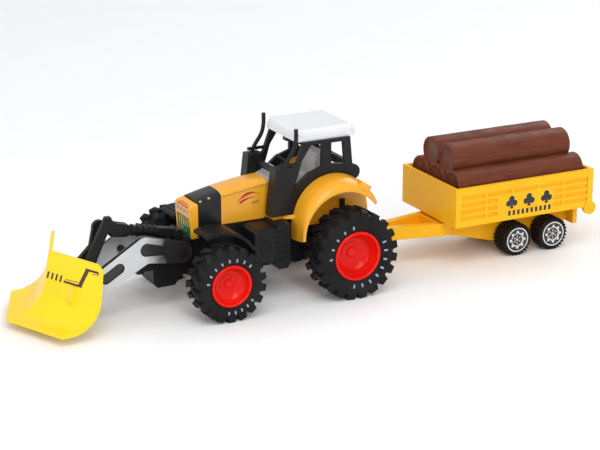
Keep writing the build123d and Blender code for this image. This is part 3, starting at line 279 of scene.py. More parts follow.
black_moulding = finish(
    "black_moulding",
    (0.008, 0.008, 0.009),
    (0.013, 0.013, 0.014),
    0.30,
    0.44,
    (0.04, 0.04, 0.044),
    0.5,
    bump=0.00001,
    specular=0.18,
)
dress(
    black_moulding,
    "chassis",
    "front_guard_left",
    "front_guard_right",
    "side_tank_left",
    "side_tank_right",
    "tow_hook",
)

# Screws, pins and axles: bright drawn steel, turned and tumbled, with fine scratches.
bright_steel = finish(
    "bright_steel",
    (0.55, 0.55, 0.56),
    (0.42, 0.42, 0.43),
    0.22,
    0.42,
    (0.75, 0.75, 0.76),
    0.6,
    grain=4200.0,
    bump=0.00001,
    metallic=1.0,
)
dress(
    bright_steel,
    "base_screws",
    "trailer_screws",
    "front_axle",
    "rear_axle",
    "trailer_front_axle",
    "trailer_rear_axle",
)

# Body: one zinc casting with hood, foot boards and fenders, sprayed in warm amber enamel under a
# clear coat; the paint is a little orange-peeled and thin on the sharpest edges.
amber_enamel = finish(
    "amber_enamel",
    (0.84, 0.385, 0.02),
    (0.81, 0.36, 0.016),
    0.23,
    0.28,
    (0.90, 0.50, 0.07),
    0.5,
    grain=700.0,
    bump=0.000012,
    coat=0.4,
    coat_rough=0.07,
    round_edge=0.0005,
    specular=0.25,
)
dress(amber_enamel, "body_casting", "nose")

# Hood band: the same casting masked off and sprayed satin black.
band_black = finish(
    "band_black",
    (0.009, 0.009, 0.010),
    (0.013, 0.013, 0.015),
    0.24,
    0.36,
    (0.04, 0.04, 0.044),
    0.4,
    coat=0.1,
    specular=0.25,
)
dress(band_black, "hood_band")


# Ink films: marks pad-printed on the finished parts, so each is a thin film that follows the
# surface below it. The marks are plain shapes and carry no letters.
def stroke_quads(path, widths):
    # four-cornered outlines along a bent stroke of changing width
    quads = []
    for (a, b), (c, d), near, far in zip(path, path[1:], widths, widths[1:]):
        length = math.hypot(c - a, d - b)
        side_a, side_b = -(d - b) / length, (c - a) / length
        quads.append(
            (
                (a + side_a * near, b + side_b * near),
                (a - side_a * near, b - side_b * near),
                (c - side_a * far, d - side_b * far),
                (c + side_a * far, d + side_b * far),
            )
        )
    return quads


def block(a, b, width, height, slant=0.0):
    return (
        (a - width / 2 - slant, b - height / 2),
        (a + width / 2 - slant, b - height / 2),
        (a + width / 2 + slant, b + height / 2),
        (a - width / 2 + slant, b + height / 2),
    )


def disc(a, b, radius, corners=20):
    return tuple(
        (
            a + radius * math.cos(2 * math.pi * i / corners),
            b + radius * math.sin(2 * math.pi * i / corners),
        )
        for i in range(corners)
    )


def printed(name, shapes, place, direction, onto, material, body, step=1.0, lift=0.06):
    # lays flat outlines, in millimetres, on a CAD node along one direction
    most_cuts = 7
    target = cad_nodes[onto].data
    surface = BVHTree.FromPolygons(
        [v.co for v in target.vertices], [tuple(p.vertices) for p in target.polygons]
    )
    direction = Vector(direction).normalized()
    ink = bmesh.new()
    for outline in shapes:
        ink.faces.new([ink.verts.new(Vector(place(a, b)) * mm) for a, b in outline])
    bmesh.ops.triangulate(ink, faces=ink.faces[:])
    for _ in range(most_cuts):
        long_edges = [e for e in ink.edges if e.calc_length() > step * mm]
        if not long_edges:
            break
        bmesh.ops.subdivide_edges(ink, edges=long_edges, cuts=1)
        bmesh.ops.triangulate(ink, faces=[f for f in ink.faces if len(f.verts) > 3])
    missed = []
    for vertex in ink.verts:
        hit = surface.ray_cast(vertex.co, direction)[0]
        if hit is None:
            missed.append(vertex)
        else:
            vertex.co = hit - direction * lift * mm
    bmesh.ops.delete(ink, geom=missed, context="VERTS")
    ink.normal_update()
    for face in ink.faces:
        if face.normal.dot(direction) > 0:
            face.normal_flip()
    mesh = bpy.data.meshes.new(name)
    ink.to_mesh(mesh)
    ink.free()
    mesh.materials.append(material)
    piece = bpy.data.objects.new(name, mesh)
    bpy.context.scene.collection.objects.link(piece)
    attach(piece, body)


film_edge = 0.0001
red_ink = finish(
    "red_ink", (0.50, 0.018, 0.012), (0.42, 0.015, 0.010), 0.35, 0.5, round_edge=film_edge
)
grey_ink = finish(
    "grey_ink", (0.20, 0.15, 0.08), (0.16, 0.12, 0.07), 0.4, 0.5, round_edge=film_edge
)
dark_ink = finish(
    "dark_ink", (0.060, 0.024, 0.016), (0.045, 0.018, 0.012), 0.35, 0.5, round_edge=film_edge
)
straw_ink = finish(
    "straw_ink", (0.42, 0.36, 0.16), (0.34, 0.30, 0.14), 0.4, 0.5, round_edge=film_edge
)
# the hood mark is a long bent swoosh over a shorter one, both thickest in the middle or the front
swoosh_steps = 24
swoosh_path = [
    (-23.0 - 16.0 * t, 60.6 + 7.0 * math.sin(math.pi * (0.08 + 0.62 * t)) - 0.6 * t)
    for t in [i / swoosh_steps for i in range(swoosh_steps + 1)]
]
swoosh_width = [
    0.15 + 0.75 * math.sin(math.pi * min(1.0, i / swoosh_steps * 1.1)) ** 2
    for i in range(swoosh_steps + 1)
]
tail_steps = 16
tail_path = [
    (-25.0 - 11.0 * t, 61.4 + 2.6 * t + 1.1 * math.sin(math.pi * t))
    for t in [i / tail_steps for i in range(tail_steps + 1)]
]
tail_width = [0.7 * (1 - i / tail_steps) + 0.12 for i in range(tail_steps + 1)]
# each print starts on a flat plane clear of its part, in millimetres from the frame's origin
hood_plane = 30.0
band_plane = 90.0
nose_plane = 20.0
for side, suffix in ((1, "left"), (-1, "right")):
    hood_y = side * hood_plane
    printed(
        f"hood_swoosh_{suffix}",
        stroke_quads(swoosh_path, swoosh_width) + stroke_quads(tail_path, tail_width),
        lambda a, b: (a, hood_y, b),
        (0, -side, 0),
        "body_casting",
        red_ink,
        "tractor",
    )
    printed(
        f"hood_ticks_{suffix}",
        [block(-34.0 - 1.3 * i, 60.4 + 0.25 * i, 0.8, 1.7, 0.15) for i in range(4)],
        lambda a, b: (a, hood_y, b),
        (0, -side, 0),
        "body_casting",
        grey_ink,
        "tractor",
    )
    printed(
        f"hood_seam_{suffix}",
        stroke_quads(
            [(-13.0 - 32.0 * t, 67.1 + 4.3 * t) for t in (0.0, 0.25, 0.5, 0.75, 1.0)], [0.2] * 5
        ),
        lambda a, b: (a, hood_y, b),
        (0, -side, 0),
        "body_casting",
        grey_ink,
        "tractor",
    )
    printed(
        f"band_vents_{suffix}",
        [disc(1.2, side * 9.6, 0.9, 12), disc(-4.6, side * 9.6, 0.9, 12)],
        lambda a, b: (a, b, band_plane),
        (0, 0, -1),
        "hood_band",
        straw_ink,
        "tractor",
    )
printed(
    "nose_bars",
    [block(y, 0.0, 1.3, 0.9, 0.2) for y in (-7.4, -5.6, -3.8, -2.0, -0.2, 1.6, 3.4, 5.2, 7.0)]
    + [block(0.0, 1.2, 12.0, 0.35)],
    lambda a, b: (nose_plane, a, 62.3 + b),
    (-1, 0, 0),
    "nose",
    red_ink,
    "tractor",
    step=0.5,
)

# Grille: a green printed plate with slanted yellow bars moulded over its upper half.
_, grille_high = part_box("grille")
bar_depth = 0.1
grille_green = finish(
    "grille_green", (0.018, 0.17, 0.07), (0.014, 0.13, 0.055), 0.3, 0.45, coat=0.1
)
grille_tree = grille_green.node_tree
grille_place = wired(grille_tree, "ShaderNodeTexCoord")
grille_split = wired(
    grille_tree, "ShaderNodeSeparateXYZ", {"Vector": grille_place.outputs["Object"]}
)
bar_mask = wired(grille_tree, "ShaderNodeMath", operation="GREATER_THAN")
grille_tree.links.new(grille_split.outputs["X"], bar_mask.inputs[0])
bar_mask.inputs[1].default_value = grille_high.x - bar_depth * mm
bar_mix = wired(grille_tree, "ShaderNodeMix", data_type="RGBA")
grille_tree.links.new(bar_mask.outputs["Value"], bar_mix.inputs[0])
grille_tree.links.new(grille_tree.nodes["rubbed_mix"].outputs[2], bar_mix.inputs[6])
bar_mix.inputs[7].default_value = (0.80, 0.46, 0.03, 1)
grille_tree.links.new(bar_mix.outputs[2], grille_tree.nodes["Principled BSDF"].inputs["Base Color"])
dress(grille_green, "grille")
printed(
    "grille_dots",
    [
        block(-3.6, 46.6, 2.2, 1.2),
        block(2.6, 46.2, 2.2, 1.2),
        block(-1.0, 44.6, 1.2, 0.5),
        block(4.2, 48.4, 1.0, 0.5),
    ],
    lambda a, b: (nose_plane, a, b),
    (-1, 0, 0),
    "grille",
    straw_ink,
    "tractor",
)

# Headlamps: four grey studs pushed into the brow of the nose.
lamp_grey = finish("lamp_grey", (0.34, 0.35, 0.37), (0.26, 0.27, 0.29), 0.2, 0.3, coat=0.5)
dress(lamp_grey, "headlamps")

# Cab frame and pipes: one open black moulding clipped over the cab floor; its pillars are
# rounded by the tool, and the pipes are plugged into its front corners.
cab_black = finish(
    "cab_black",
    (0.008, 0.008, 0.009),
    (0.013, 0.013, 0.014),
    0.26,
    0.40,
    (0.04, 0.04, 0.044),
    0.5,
    bump=0.00001,
    round_edge=0.0006,
    specular=0.22,
)
dress(cab_black, "cab_frame", "side_pipe_left", "side_pipe_right", "steering_wheel")

# Roof: white styrene slab snapped on the pillars, glossy, faintly blue in the shade.
roof_white = finish(
    "roof_white",
    (0.76, 0.77, 0.78),
    (0.74, 0.75, 0.76),
    0.25,
    0.28,
    (0.80, 0.80, 0.80),
    0.3,
    grain=900.0,
    bump=0.000004,
    coat=0.2,
)
dress(roof_white, "roof")

# Seat and cab lining: pale grey matt plastic in one tub.
lining_grey = finish(
    "lining_grey",
    (0.60, 0.59, 0.58),
    (0.54, 0.53, 0.52),
    0.42,
    0.58,
    (0.68, 0.67, 0.66),
    0.4,
    round_edge=0.0006,
)
dress(lining_grey, "cab_interior", "seat")

# Rims: dished wheels turned as smooth bowls with a rolled lip and a stepped hub, moulded in
# bright red, very glossy, pressed into the tyres.
rim_red = finish(
    "rim_red",
    (0.78, 0.010, 0.004),
    (0.68, 0.008, 0.004),
    0.14,
    0.24,
    (0.82, 0.03, 0.02),
    0.3,
    grain=600.0,
    bump=0.000004,
    coat=0.12,
    coat_rough=0.04,
    round_edge=0.0002,
    specular=0.15,
)
wheel_places = []
for place in ("front", "rear"):
    axle_low, axle_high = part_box(f"{place}_axle")
    wheel_places.append((place, (axle_low + axle_high) / 2))
# rim radius, outer face from the middle of the tractor, width and depth of the bowl, millimetres
dish_sizes = {"front": (13.4, 52.6, 18.4, 7.0), "rear": (16.0, 51.0, 20.0, 10.5)}
axle_r = 1.5
lip = 0.95
lip_steps = 8
bowl_steps = 18
turned_line = 5
spokes = 96


def rim_curve(rim_r, width, depth):
    # half section from the tyre seat over the rolled lip into the bowl, as depth and radius
    curve = [(width - 1.0, axle_r), (width - 1.0, rim_r - 1.0), (width - 2.0, rim_r)]
    for step in range(lip_steps + 1):
        turn = math.pi * step / lip_steps
        curve.append((lip - lip * math.sin(turn), rim_r - lip + lip * math.cos(turn)))
    bowl_top = rim_r - 2 * lip
    bowl_floor = rim_r * 0.44
    for step in range(1, bowl_steps + 1):
        turn = math.pi / 2 * step / bowl_steps
        curve.append(
            (
                lip + (depth - lip) * math.sin(turn),
                bowl_floor + (bowl_top - bowl_floor) * math.cos(turn),
            )
        )
        if step == turned_line:
            # a fine turned step part of the way down the bowl
            curve.append((curve[-1][0] + 0.25, curve[-1][1] - 0.05))
            curve.append((curve[-1][0] + 0.05, curve[-1][1] - 0.35))
    curve += [(depth - 0.4, rim_r * 0.42), (depth - 0.4, rim_r * 0.32), (depth, rim_r * 0.30)]
    curve += [(depth, rim_r * 0.22), (depth - 0.4, rim_r * 0.20)]
    curve += [(depth - 1.0, rim_r * 0.17), (depth - 1.2, rim_r * 0.10)]
    return curve


for place, centre in wheel_places:
    rim_r, face_y, width, depth = dish_sizes[place]
    for side, suffix in ((1, "left"), (-1, "right")):
        turned = bmesh.new()
        rings = []
        for behind, radius in rim_curve(rim_r, width, depth):
            rings.append(
                [
                    turned.verts.new(
                        (
                            centre.x + radius * mm * math.cos(2 * math.pi * i / spokes),
                            side * (face_y - behind) * mm,
                            centre.z + radius * mm * math.sin(2 * math.pi * i / spokes),
                        )
                    )
                    for i in range(spokes)
                ]
            )
        for near, far in zip(rings, rings[1:]):
            for i in range(spokes):
                j = (i + 1) % spokes
                turned.faces.new((near[i], near[j], far[j], far[i]))
        turned.faces.new(rings[-1])
        turned.faces.new(rings[0])
        bmesh.ops.recalc_face_normals(turned, faces=turned.faces[:])
        rim_mesh = bpy.data.meshes.new(f"{place}_dish_{suffix}")
        turned.to_mesh(rim_mesh)
        turned.free()
        rim_mesh.polygons.foreach_set("use_smooth", [True] * len(rim_mesh.polygons))
        rim_mesh.set_sharp_from_angle(angle=math.radians(35))
        rim_mesh.materials.append(rim_red)
        dish = bpy.data.objects.new(f"{place}_dish_{suffix}", rim_mesh)
        bpy.context.scene.collection.objects.link(dish)
        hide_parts(f"{place}_rim_{suffix}")
        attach(dish, f"{place}_wheels")

# Wheel nuts: a ring of small red six-sided heads with a domed tip standing in each dish, moulded
# with the rim.
nut_count = 6
nut_corners = 6
nut_r = 0.6
nut_height = 0.7
nut_sink = 0.2
nuts = bpy.data.node_groups.new("nut_ring", "GeometryNodeTree")
for label, kind in (
    ("Geometry", "NodeSocketGeometry"),
    ("Count", "NodeSocketInt"),
    ("Ring Radius", FLOAT),
    ("Nut Radius", FLOAT),
    ("Nut Height", FLOAT),
    ("Centre", "NodeSocketVector"),
    ("Material", "NodeSocketMaterial"),
):
    nuts.interface.new_socket(label, in_out="INPUT", socket_type=kind)
nuts.interface.new_socket("Geometry", in_out="OUTPUT", socket_type="NodeSocketGeometry")
nuts_in = nuts.nodes.new("NodeGroupInput")
nuts_out = nuts.nodes.new("NodeGroupOutput")
ring = wired(
    nuts,
    "GeometryNodeMeshCircle",
    {"Vertices": nuts_in.outputs["Count"], "Radius": nuts_in.outputs["Ring Radius"]},
)
nut = wired(
    nuts,
    "GeometryNodeMeshCylinder",
    {"Radius": nuts_in.outputs["Nut Radius"], "Depth": nuts_in.outputs["Nut Height"]},
)
nut.inputs["Vertices"].default_value = nut_corners
nut_tip = wired(
    nuts,
    "GeometryNodeMeshIcoSphere",
    {"Radius": nuts_in.outputs["Nut Radius"]},
)
nut_tip.inputs["Subdivisions"].default_value = 2
nut_small = wired(
    nuts,
    "GeometryNodeTransform",
    {"Geometry": nut_tip.outputs["Mesh"], "Scale": (0.62, 0.62, 1.0)},
)
nut_whole = wired(nuts, "GeometryNodeJoinGeometry")
nuts.links.new(nut.outputs["Mesh"], nut_whole.inputs["Geometry"])
nuts.links.new(nut_small.outputs["Geometry"], nut_whole.inputs["Geometry"])
nut_set = wired(
    nuts,
    "GeometryNodeInstanceOnPoints",
    {"Points": ring.outputs["Mesh"], "Instance": nut_whole.outputs["Geometry"]},
)
nut_stand = wired(
    nuts,
    "GeometryNodeTransform",
    {
        "Geometry": nut_set.outputs["Instances"],
        "Translation": nuts_in.outputs["Centre"],
        "Rotation": (math.radians(90), 0, 0),
    },
)
nut_real = wired(nuts, "GeometryNodeRealizeInstances", {"Geometry": nut_stand.outputs["Geometry"]})
nut_coat = wired(
    nuts,
    "GeometryNodeSetMaterial",
    {"Geometry": nut_real.outputs["Geometry"], "Material": nuts_in.outputs["Material"]},
)
nuts.links.new(nut_coat.outputs["Geometry"], nuts_out.inputs["Geometry"])


def nut_ring(name, ring_radius, centre, material):
    carrier = bpy.data.objects.new(name + "_carrier", bpy.data.meshes.new(name + "_carrier"))
    bpy.context.scene.collection.objects.link(carrier)
    modifier = carrier.modifiers.new("nuts", "NODES")
    modifier.node_group = nuts
    sockets = {
        item.name: item.identifier
        for item in nuts.interface.items_tree
        if item.in_out == "INPUT"
    }
    modifier[sockets["Count"]] = nut_count
    modifier[sockets["Ring Radius"]] = ring_radius * mm
    modifier[sockets["Nut Radius"]] = nut_r * mm
    modifier[sockets["Nut Height"]] = nut_height * mm
    modifier[sockets["Centre"]] = tuple(centre)
    modifier[sockets["Material"]] = material
    bpy.context.view_layer.update()
    graph = bpy.context.evaluated_depsgraph_get()
    mesh = bpy.data.meshes.new_from_object(carrier.evaluated_get(graph))
    bpy.data.objects.remove(carrier)
    mesh.name = name
    piece = bpy.data.objects.new(name, mesh)
    bpy.context.scene.collection.objects.link(piece)
    return piece


for place, centre in wheel_places:
    rim_r, face_y, _, depth = dish_sizes[place]
    for side, suffix in ((1, "left"), (-1, "right")):
        nut_centre = Vector((centre.x, side * (face_y - depth + nut_sink) * mm, centre.z))
        piece = nut_ring(f"{place}_wheel_nuts_{suffix}", rim_r * 0.37, nut_centre, rim_red)
        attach(piece, f"{place}_wheels")

# Tyres: soft black vinyl with chunky bars, matt, with turned rings on the walls and paler scuffs
# on the tread; plain pale blue blocks are printed round the walls.
tyre_black = finish(
    "tyre_black",
    (0.008, 0.008, 0.008),
    (0.014, 0.0135, 0.013),
    0.46,
    0.62,
    (0.04, 0.039, 0.037),
    0.5,
    grain=1500.0,
    bump=0.00003,
    round_edge=0.0006,
    specular=0.14,
)
pale_blue_ink = finish(
    "pale_blue_ink", (0.30, 0.37, 0.47), (0.24, 0.31, 0.41), 0.45, 0.6, round_edge=film_edge
)
tyre_plane = 80.0


def wall_blocks(first, last, count, radius, height, width):
    # upright blocks spaced round an arc, drawn as X and Z from the axle
    blocks = []
    for index in range(count):
        angle = math.radians(first + (last - first) * index / (count - 1))
        out = (math.cos(angle), math.sin(angle))
        across = (-math.sin(angle), math.cos(angle))
        corners = []
        for u, v in ((-1, -1), (1, -1), (1, 1), (-1, 1)):
            r = radius + v * height / 2
            w = u * width / 2
            corners.append((out[0] * r + across[0] * w, out[1] * r + across[1] * w))
        blocks.append(tuple(corners))
    return blocks


wall_marks = {
    "front": wall_blocks(14, 136, 8, 16.6, 2.1, 1.1) + wall_blocks(219, 279, 5, 16.9, 2.1, 1.1),
    "rear": wall_blocks(2, 79, 5, 19.4, 2.4, 1.2) + wall_blocks(159, 279, 8, 19.6, 2.4, 1.2),
}
for place, centre in wheel_places:
    dress(tyre_black, f"{place}_tyre_left", f"{place}_tyre_right")
    for side, suffix in ((1, "left"), (-1, "right")):
        printed(
            f"{place}_tyre_marks_{suffix}",
            wall_marks[place],
            lambda a, b: (centre.x / mm + a, side * tyre_plane, centre.z / mm + b),
            (0, -side, 0),
            f"{place}_tyre_{suffix}",
            pale_blue_ink,
            f"{place}_wheels",
        )

# Loader: flat arms pressed from sheet, black on the edges, in the slots and at the pivots, with
# the flat faces wiped bare so that the silver fades out towards the tractor.
arm_low, arm_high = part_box("loader_arm_left")
bare_depth = 0.25
bare_from = 33
bare_to = 46
bare_drift = 10
arm_silver = finish(
    "arm_silver",
    (0.62, 0.64, 0.66),
    (0.54, 0.56, 0.58),
    0.30,
    0.46,
    (0.70, 0.71, 0.72),
    0.3,
    coat=0.2,
)
arm_tree = arm_silver.node_tree
arm_place = wired(arm_tree, "ShaderNodeTexCoord")
arm_split = wired(arm_tree, "ShaderNodeSeparateXYZ", {"Vector": arm_place.outputs["Object"]})
arm_reach = wired(arm_tree, "ShaderNodeMath", operation="ABSOLUTE")
arm_tree.links.new(arm_split.outputs["Y"], arm_reach.inputs[0])
arm_off = wired(arm_tree, "ShaderNodeMath", operation="SUBTRACT")
arm_tree.links.new(arm_reach.outputs["Value"], arm_off.inputs[0])
arm_off.inputs[1].default_value = (arm_low.y + arm_high.y) / 2
arm_depth = wired(arm_tree, "ShaderNodeMath", operation="ABSOLUTE")
arm_tree.links.new(arm_off.outputs["Value"], arm_depth.inputs[0])
arm_face = wired(arm_tree, "ShaderNodeMath", operation="GREATER_THAN")
arm_tree.links.new(arm_depth.outputs["Value"], arm_face.inputs[0])
arm_face.inputs[1].default_value = (arm_high.y - arm_low.y) / 2 - bare_depth * mm
arm_cloud = wired(
    arm_tree, "ShaderNodeTexNoise", {"Vector": arm_place.outputs["Object"], "Scale": 160.0}
)
arm_shift = wired(arm_tree, "ShaderNodeMath", operation="MULTIPLY_ADD")
arm_tree.links.new(arm_cloud.outputs["Fac"], arm_shift.inputs[0])
arm_shift.inputs[1].default_value = bare_drift * mm
arm_tree.links.new(arm_split.outputs["X"], arm_shift.inputs[2])
arm_fade = wired(
    arm_tree,
    "ShaderNodeMapRange",
    {
        "Value": arm_shift.outputs["Value"],
        "From Min": bare_from * mm,
        "From Max": bare_to * mm,
    },
)
arm_mask = wired(arm_tree, "ShaderNodeMath", operation="MULTIPLY")
arm_tree.links.new(arm_face.outputs["Value"], arm_mask.inputs[0])
arm_tree.links.new(arm_fade.outputs["Result"], arm_mask.inputs[1])
arm_mix = wired(arm_tree, "ShaderNodeMix", data_type="RGBA")
arm_tree.links.new(arm_mask.outputs["Value"], arm_mix.inputs[0])
arm_mix.inputs[6].default_value = (0.014, 0.014, 0.015, 1)
arm_tree.links.new(arm_tree.nodes["rubbed_mix"].outputs[2], arm_mix.inputs[7])
arm_tree.links.new(arm_mix.outputs[2], arm_tree.nodes["Principled BSDF"].inputs["Base Color"])
dress(arm_silver, "loader_arm_left", "loader_arm_right")
dress(
    black_moulding,
    "loader_mount",
    "boom_cross_tube",
    "blade_mast",
    "tilt_link",
    "boom_pivot_pin",
    "blade_pivot_pin",
    "mast_pin",
    "link_rear_pin",
)

# Plough blade: two swept wings cast in one, sprayed lemon yellow inside and out, glossy, with a
# stepped dark stripe printed on each wing.
blade_yellow = finish(
    "blade_yellow",
    (0.96, 0.655, 0.016),
    (0.95, 0.63, 0.015),
    0.27,
    0.31,
    (0.95, 0.72, 0.10),
    0.5,
    grain=700.0,
    bump=0.000006,
    coat=0.1,
    round_edge=0.0003,
    specular=0.16,
)
dress(blade_yellow, "blade")
blade_plane = 160.0
rule_width = 0.22
for side, suffix in ((1, "left"), (-1, "right")):
    stripe = [
        block(21.8, 30.5, 14.4, 1.4),
        block(29.4, 36.0, 3.0, 9.6, 1.9),
        block(36.4, 41.5, 13.2, 1.4),
    ]
    stripe += stroke_quads([(15.6, 32.0), (26.0, 32.5)], [rule_width] * 2)
    stripe += stroke_quads([(35.6, 39.9), (43.0, 40.4)], [rule_width] * 2)
    stripe += [block(2.0 + 3.4 * i, 31.6, 1.5, 4.2, 0.3) for i in range(4)]
    printed(
        f"blade_stripe_{suffix}",
        stripe,
        lambda a, b: (blade_plane, side * a, b),
        (-1, 0, 0),
        "blade",
        dark_ink,
        "plough",
    )

# Trailer: bright yellow polypropylene, softer and warmer than the enamel, with only a little
# gloss; the sunk slots come from the tool, and three leaf marks and a row of blocks are printed.
trailer_yellow = finish(
    "trailer_yellow",
    (0.95, 0.50, 0.012),
    (0.93, 0.465, 0.010),
    0.28,
    0.40,
    (0.93, 0.60, 0.06),
    0.4,
    grain=900.0,
    bump=0.00001,
    round_edge=0.0004,
    specular=0.15,
)
dress(trailer_yellow, "trailer_chassis", "trailer_bed", "tailgate", "tailgate_pins")
black_ink = finish(
    "black_ink", (0.012, 0.012, 0.018), (0.02, 0.02, 0.028), 0.35, 0.5, round_edge=film_edge
)
bed_plane = 60.0
thin_lift = 0.05


def three_leaves(a, b, leaf=2.1, corners=60):
    # one outline round three discs that meet at the middle
    outline = []
    for index in range(corners):
        turn = 2 * math.pi * index / corners
        out = (math.cos(turn), math.sin(turn))
        reach = 1.5
        for leaf_a, leaf_b in ((0.0, 2.0), (-2.3, -1.0), (2.3, -1.0)):
            along = out[0] * leaf_a + out[1] * leaf_b
            off = leaf**2 - (leaf_a**2 + leaf_b**2 - along**2)
            if along > 0 and off > 0:
                reach = max(reach, along + math.sqrt(off))
        outline.append((a + out[0] * reach, b + out[1] * reach))
    return tuple(outline)


tree_marks = []
for tree_x in (-212.0, -225.6, -239.3):
    tree_marks += [
        three_leaves(tree_x, 42.0),
        (
            (tree_x - 1.5, 37.4),
            (tree_x + 1.5, 37.4),
            (tree_x + 0.4, 40.4),
            (tree_x - 0.4, 40.4),
        ),
    ]
tree_marks += [block(-210.4 - 3.5 * i, 34.3, 1.9, 3.4) for i in range(10)]
for side, suffix in ((1, "left"), (-1, "right")):
    printed(
        f"trailer_marks_{suffix}",
        tree_marks,
        lambda a, b: (a, side * bed_plane, b),
        (0, -side, 0),
        "trailer_bed",
        black_ink,
        "trailer",
        lift=thin_lift,
    )

# Trailer wheels: small black tyres on flat hubs, with a white ring, a toothed ring and six dots
# printed on each hub.
hub_black = finish(
    "hub_black", (0.012, 0.012, 0.013), (0.018, 0.018, 0.02), 0.25, 0.38, coat=0.3
)
white_ink = finish(
    "white_ink", (0.78, 0.79, 0.80), (0.70, 0.71, 0.72), 0.35, 0.5, round_edge=film_edge
)
hub_plane = 40.0
dot_circle = 2.4


def ring_band(inner, outer, teeth=0, tooth=0.0, corners=96):
    # quads round a ring whose outer edge can carry rounded teeth, drawn as X and Z from the axle
    def edge(index):
        angle = 2 * math.pi * index / corners
        grow = tooth * max(0.0, math.cos(teeth * angle)) ** 0.6 if teeth else 0.0
        return (
            (inner * math.cos(angle), inner * math.sin(angle)),
            ((outer + grow) * math.cos(angle), (outer + grow) * math.sin(angle)),
        )

    quads = []
    for index in range(corners):
        near_in, near_out = edge(index)
        far_in, far_out = edge(index + 1)
        quads.append((near_in, near_out, far_out, far_in))
    return quads


hub_marks = ring_band(7.6, 8.35) + ring_band(3.9, 4.9, 8, 1.5)
hub_marks += [
    disc(dot_circle * math.cos(turn), dot_circle * math.sin(turn), 0.5, 12)
    for turn in [math.radians(60 * i + 30) for i in range(6)]
]
for place in ("front", "rear"):
    axle_low, axle_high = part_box(f"trailer_{place}_axle")
    centre = (axle_low + axle_high) / 2
    for side, suffix in ((1, "left"), (-1, "right")):
        dress(tyre_black, f"trailer_{place}_tyre_{suffix}")
        dress(hub_black, f"trailer_{place}_rim_{suffix}")
        printed(
            f"trailer_{place}_hub_marks_{suffix}",
            hub_marks,
            lambda a, b: (centre.x / mm + a, side * hub_plane, centre.z / mm + b),
            (0, -side, 0),
            f"trailer_{place}_rim_{suffix}",
            white_ink,
            f"trailer_{place}_wheels",
            lift=thin_lift,
        )

# Log load: five logs and the plinth under them moulded as one brown piece; the bark is uneven and
# drawn lengthwise with fine fibres, and each end is a raised rim round a plain sunk face.
load_low, load_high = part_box("log_load")
log_r = 10.1 * mm
log_rise = 15.32
top_gap = 10.25
end_gap = 0.2
plinth_half = 26.0
plinth_gap = 1.6
bark_face = 4e-6
low_axis = load_high.z - top_gap * mm - log_rise * mm
# across, up, and how far the front and back ends are set back, in millimetres
log_axes = [
    (-20.0, 0.0, 0.0, 0.0),
    (0.0, 0.0, 0.0, 0.0),
    (20.0, 0.0, 0.0, 0.0),
    (-10.0, log_rise, 2.0, 4.5),
    (10.0, log_rise, 2.0, 4.5),
]
around = 72
along = 60
wood = bmesh.new()
for log_index, (axis_y, axis_z, front_gap, back_gap) in enumerate(log_axes):
    log_front = load_high.x - (end_gap + front_gap) * mm
    log_back = load_low.x + (end_gap + back_gap) * mm
    centre_y = axis_y * mm
    centre_z = low_axis + axis_z * mm
    seed = Vector((log_index * 7.3, log_index * 3.1, 0.0))
    rings = []
    # the end faces: sunk disc, rim and rounded corner, then the bark, then the other end
    profile = [
        (log_front - 0.5 * mm, 0.35),
        (log_front - 0.5 * mm, 0.80),
        (log_front, 0.84),
        (log_front, 0.93),
        (log_front - 0.25 * mm, 0.975),
    ]
    profile += [
        (log_front + (log_back - log_front) * (0.006 + 0.988 * step / along), 1.0)
        for step in range(along + 1)
    ]
    profile += [(log_back + 0.25 * mm, 0.975), (log_back, 0.93), (log_back, 0.84)]
    profile += [(log_back + 0.5 * mm, 0.80), (log_back + 0.5 * mm, 0.35)]
    for x, share in profile:
        ring_verts = []
        for spoke in range(around):
            angle = 2 * math.pi * spoke / around
            radius = log_r * share
            if share == 1.0:
                spot = Vector((x * 55, 9 * math.cos(angle), 9 * math.sin(angle))) + seed
                radius += 0.16 * mm * noise.noise(spot) - 0.1 * mm
                fine = Vector((x * 90, 26 * math.cos(angle), 26 * math.sin(angle))) + seed
                radius += 0.10 * mm * noise.noise(fine)
            ring_verts.append(
                wood.verts.new(
                    (x, centre_y + radius * math.cos(angle), centre_z + radius * math.sin(angle))
                )
            )
        rings.append(ring_verts)
    for near, far in zip(rings, rings[1:]):
        for spoke in range(around):
            after = (spoke + 1) % around
            wood.faces.new((near[spoke], near[after], far[after], far[spoke]))
    wood.faces.new(list(reversed(rings[0])))
    wood.faces.new(rings[-1])
plinth_low = Vector((load_low.x + plinth_gap * mm, -plinth_half * mm, load_low.z))
plinth_high = Vector((load_high.x - plinth_gap * mm, plinth_half * mm, low_axis))
corners = [
    wood.verts.new((x, y, z))
    for x in (plinth_low.x, plinth_high.x)
    for y in (plinth_low.y, plinth_high.y)
    for z in (plinth_low.z, plinth_high.z)
]
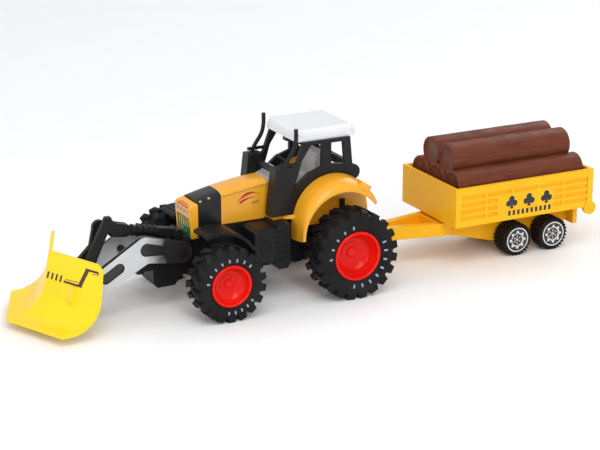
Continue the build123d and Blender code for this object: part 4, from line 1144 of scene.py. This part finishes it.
for face in ((0, 1, 3, 2), (4, 6, 7, 5), (0, 4, 5, 1), (2, 3, 7, 6), (0, 2, 6, 4), (1, 5, 7, 3)):
    wood.faces.new([corners[i] for i in face])
bmesh.ops.recalc_face_normals(wood, faces=wood.faces[:])
log_mesh = bpy.data.meshes.new("log_stack")
wood.to_mesh(log_mesh)
wood.free()
for polygon in log_mesh.polygons:
    polygon.use_smooth = len(polygon.vertices) == 4 and polygon.area < bark_face
log_stack = bpy.data.objects.new("log_stack", log_mesh)
bpy.context.scene.collection.objects.link(log_stack)
bark = finish(
    "brown_bark",
    (0.130, 0.030, 0.012),
    (0.090, 0.021, 0.009),
    0.36,
    0.54,
    (0.16, 0.050, 0.025),
    0.4,
    specular=0.22,
)
bark_tree = bark.node_tree
bark_place = wired(bark_tree, "ShaderNodeTexCoord")
bark_stretch = wired(
    bark_tree,
    "ShaderNodeMapping",
    {"Vector": bark_place.outputs["Object"], "Scale": (60.0, 900.0, 900.0)},
)
bark_fibre = wired(
    bark_tree,
    "ShaderNodeTexNoise",
    {"Vector": bark_stretch.outputs["Vector"], "Scale": 1.0, "Detail": 4.0},
)
bark_bump = wired(
    bark_tree,
    "ShaderNodeBump",
    {
        "Strength": 0.7,
        "Distance": 0.00012,
        "Height": bark_fibre.outputs["Fac"],
        "Normal": bark_tree.nodes["grain_bump"].outputs["Normal"],
    },
)
bark_tree.links.new(
    bark_bump.outputs["Normal"], bark_tree.nodes["Principled BSDF"].inputs["Normal"]
)
bark_streak = wired(
    bark_tree,
    "ShaderNodeMapRange",
    {"Value": bark_fibre.outputs["Fac"], "From Min": 0.35, "From Max": 0.7},
)
bark_mix = wired(bark_tree, "ShaderNodeMix", data_type="RGBA")
bark_tree.links.new(bark_streak.outputs["Result"], bark_mix.inputs[0])
bark_tree.links.new(bark_tree.nodes["rubbed_mix"].outputs[2], bark_mix.inputs[6])
bark_mix.inputs[7].default_value = (0.165, 0.042, 0.018, 1)
bark_tree.links.new(bark_mix.outputs[2], bark_tree.nodes["Principled BSDF"].inputs["Base Color"])
log_mesh.materials.append(bark)
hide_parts("log_load")
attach(log_stack, "load")

bpy.context.view_layer.update()
